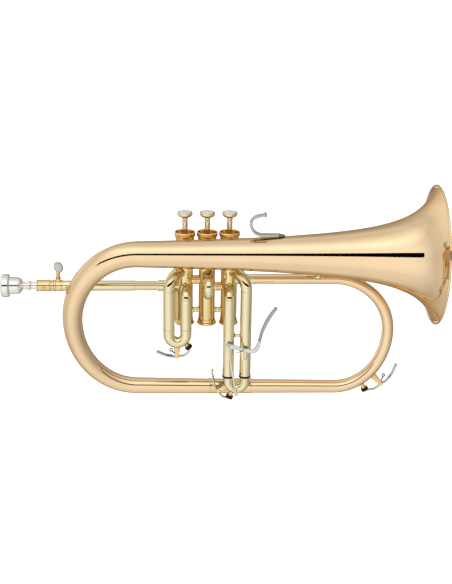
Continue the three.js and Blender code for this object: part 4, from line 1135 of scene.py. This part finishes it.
def make_surroundings():
    """A white tent, brightest in front, overhead and behind on the left. The camera sees plain white."""
    world = bpy.data.worlds.new("studio")
    world.use_nodes = True
    scene.world = world
    nodes, links = world.node_tree.nodes, world.node_tree.links
    way = nodes.new("ShaderNodeTexCoord").outputs["Generated"]
    front = vector_step(nodes, links, "DOT_PRODUCT", way, (-math.sin(TENT_TURN), -math.cos(TENT_TURN), 0))
    rear = (-math.sin(TENT_BACK_TURN), math.cos(TENT_BACK_TURN), 0)
    back = vector_step(nodes, links, "DOT_PRODUCT", way, rear)
    up = vector_step(nodes, links, "DOT_PRODUCT", way, (0, 0, 1))
    around = vector_step(nodes, links, "ADD", shade_along(nodes, links, front, FRONT_SHADES),
                         shade_along(nodes, links, back, BACK_SHADES))
    tent = vector_step(nodes, links, "MULTIPLY", around, shade_along(nodes, links, up, UPWARD_SHADES))
    seen = nodes.new("ShaderNodeMixRGB")
    seen.inputs["Color2"].default_value = (1, 1, 1, 1)
    links.new(nodes.new("ShaderNodeLightPath").outputs["Is Camera Ray"], seen.inputs["Fac"])
    links.new(tent, seen.inputs["Color1"])
    links.new(seen.outputs["Color"], nodes["Background"].inputs["Color"])


def make_camera():
    data = bpy.data.cameras.new("camera")
    data.lens = CAMERA_LENS
    data.sensor_width = CAMERA_SENSOR
    data.clip_end = CAMERA_REACH_M
    azimuth, elevation = math.radians(CAMERA_AZIMUTH), math.radians(CAMERA_ELEVATION)
    back = at(math.sin(azimuth) * math.cos(elevation), -math.cos(azimuth) * math.cos(elevation),
              math.sin(elevation))
    right = (-back).cross(AXES["z"][0]).normalized()
    up = right.cross(-back)
    roll = math.atan2(up.x, right.x)
    level_right = right * math.cos(roll) + up * math.sin(roll)
    level_up = up * math.cos(roll) - right * math.sin(roll)
    camera = bpy.data.objects.new("camera", data)
    turn = Matrix((level_right, level_up, back)).transposed().to_4x4()
    camera.matrix_world = Matrix.Translation(CAMERA_PLACE * MM) @ turn
    scene.collection.objects.link(camera)
    scene.camera = camera


# ---- The whole horn ----

def finish_pistons():
    """Gives the pistons, the CAD nodes that stay, their finish."""
    for number in NUMBERS:
        for slot in frame["nodes"][f"piston_{number}"].material_slots:
            slot.material = MATERIALS["monel"]


make_camera()
make_light()
make_floor()
make_bell()
make_left_bow()
make_right_bow()
make_exit_ferrule()
make_mouthpiece()
make_tuning_pipe()
make_leadpipe()
make_lead_ferrule()
make_clamp_screw()
for valve in NUMBERS:
    make_casing(valve)
    make_top_cap(valve)
    make_bottom_cap(valve)
    make_valve_spring(valve)
    make_finger_piece(valve)
make_valve_links()
make_casing_upright()
make_first_slide()
make_second_slide()
make_third_slide()
make_water_key("first_key", FIRST_KEY, "first_water_key", "first_slide")
make_water_key("third_key", THIRD_KEY, "third_water_key", "third_slide")
make_water_key("bow_key", BOW_KEY, "bow_water_key", "horn")
make_trigger()
make_trigger_lever()
make_link_rod()
make_valve_brace()
make_lead_brace()
make_bell_brace()
make_finger_hook()
finish_pistons()
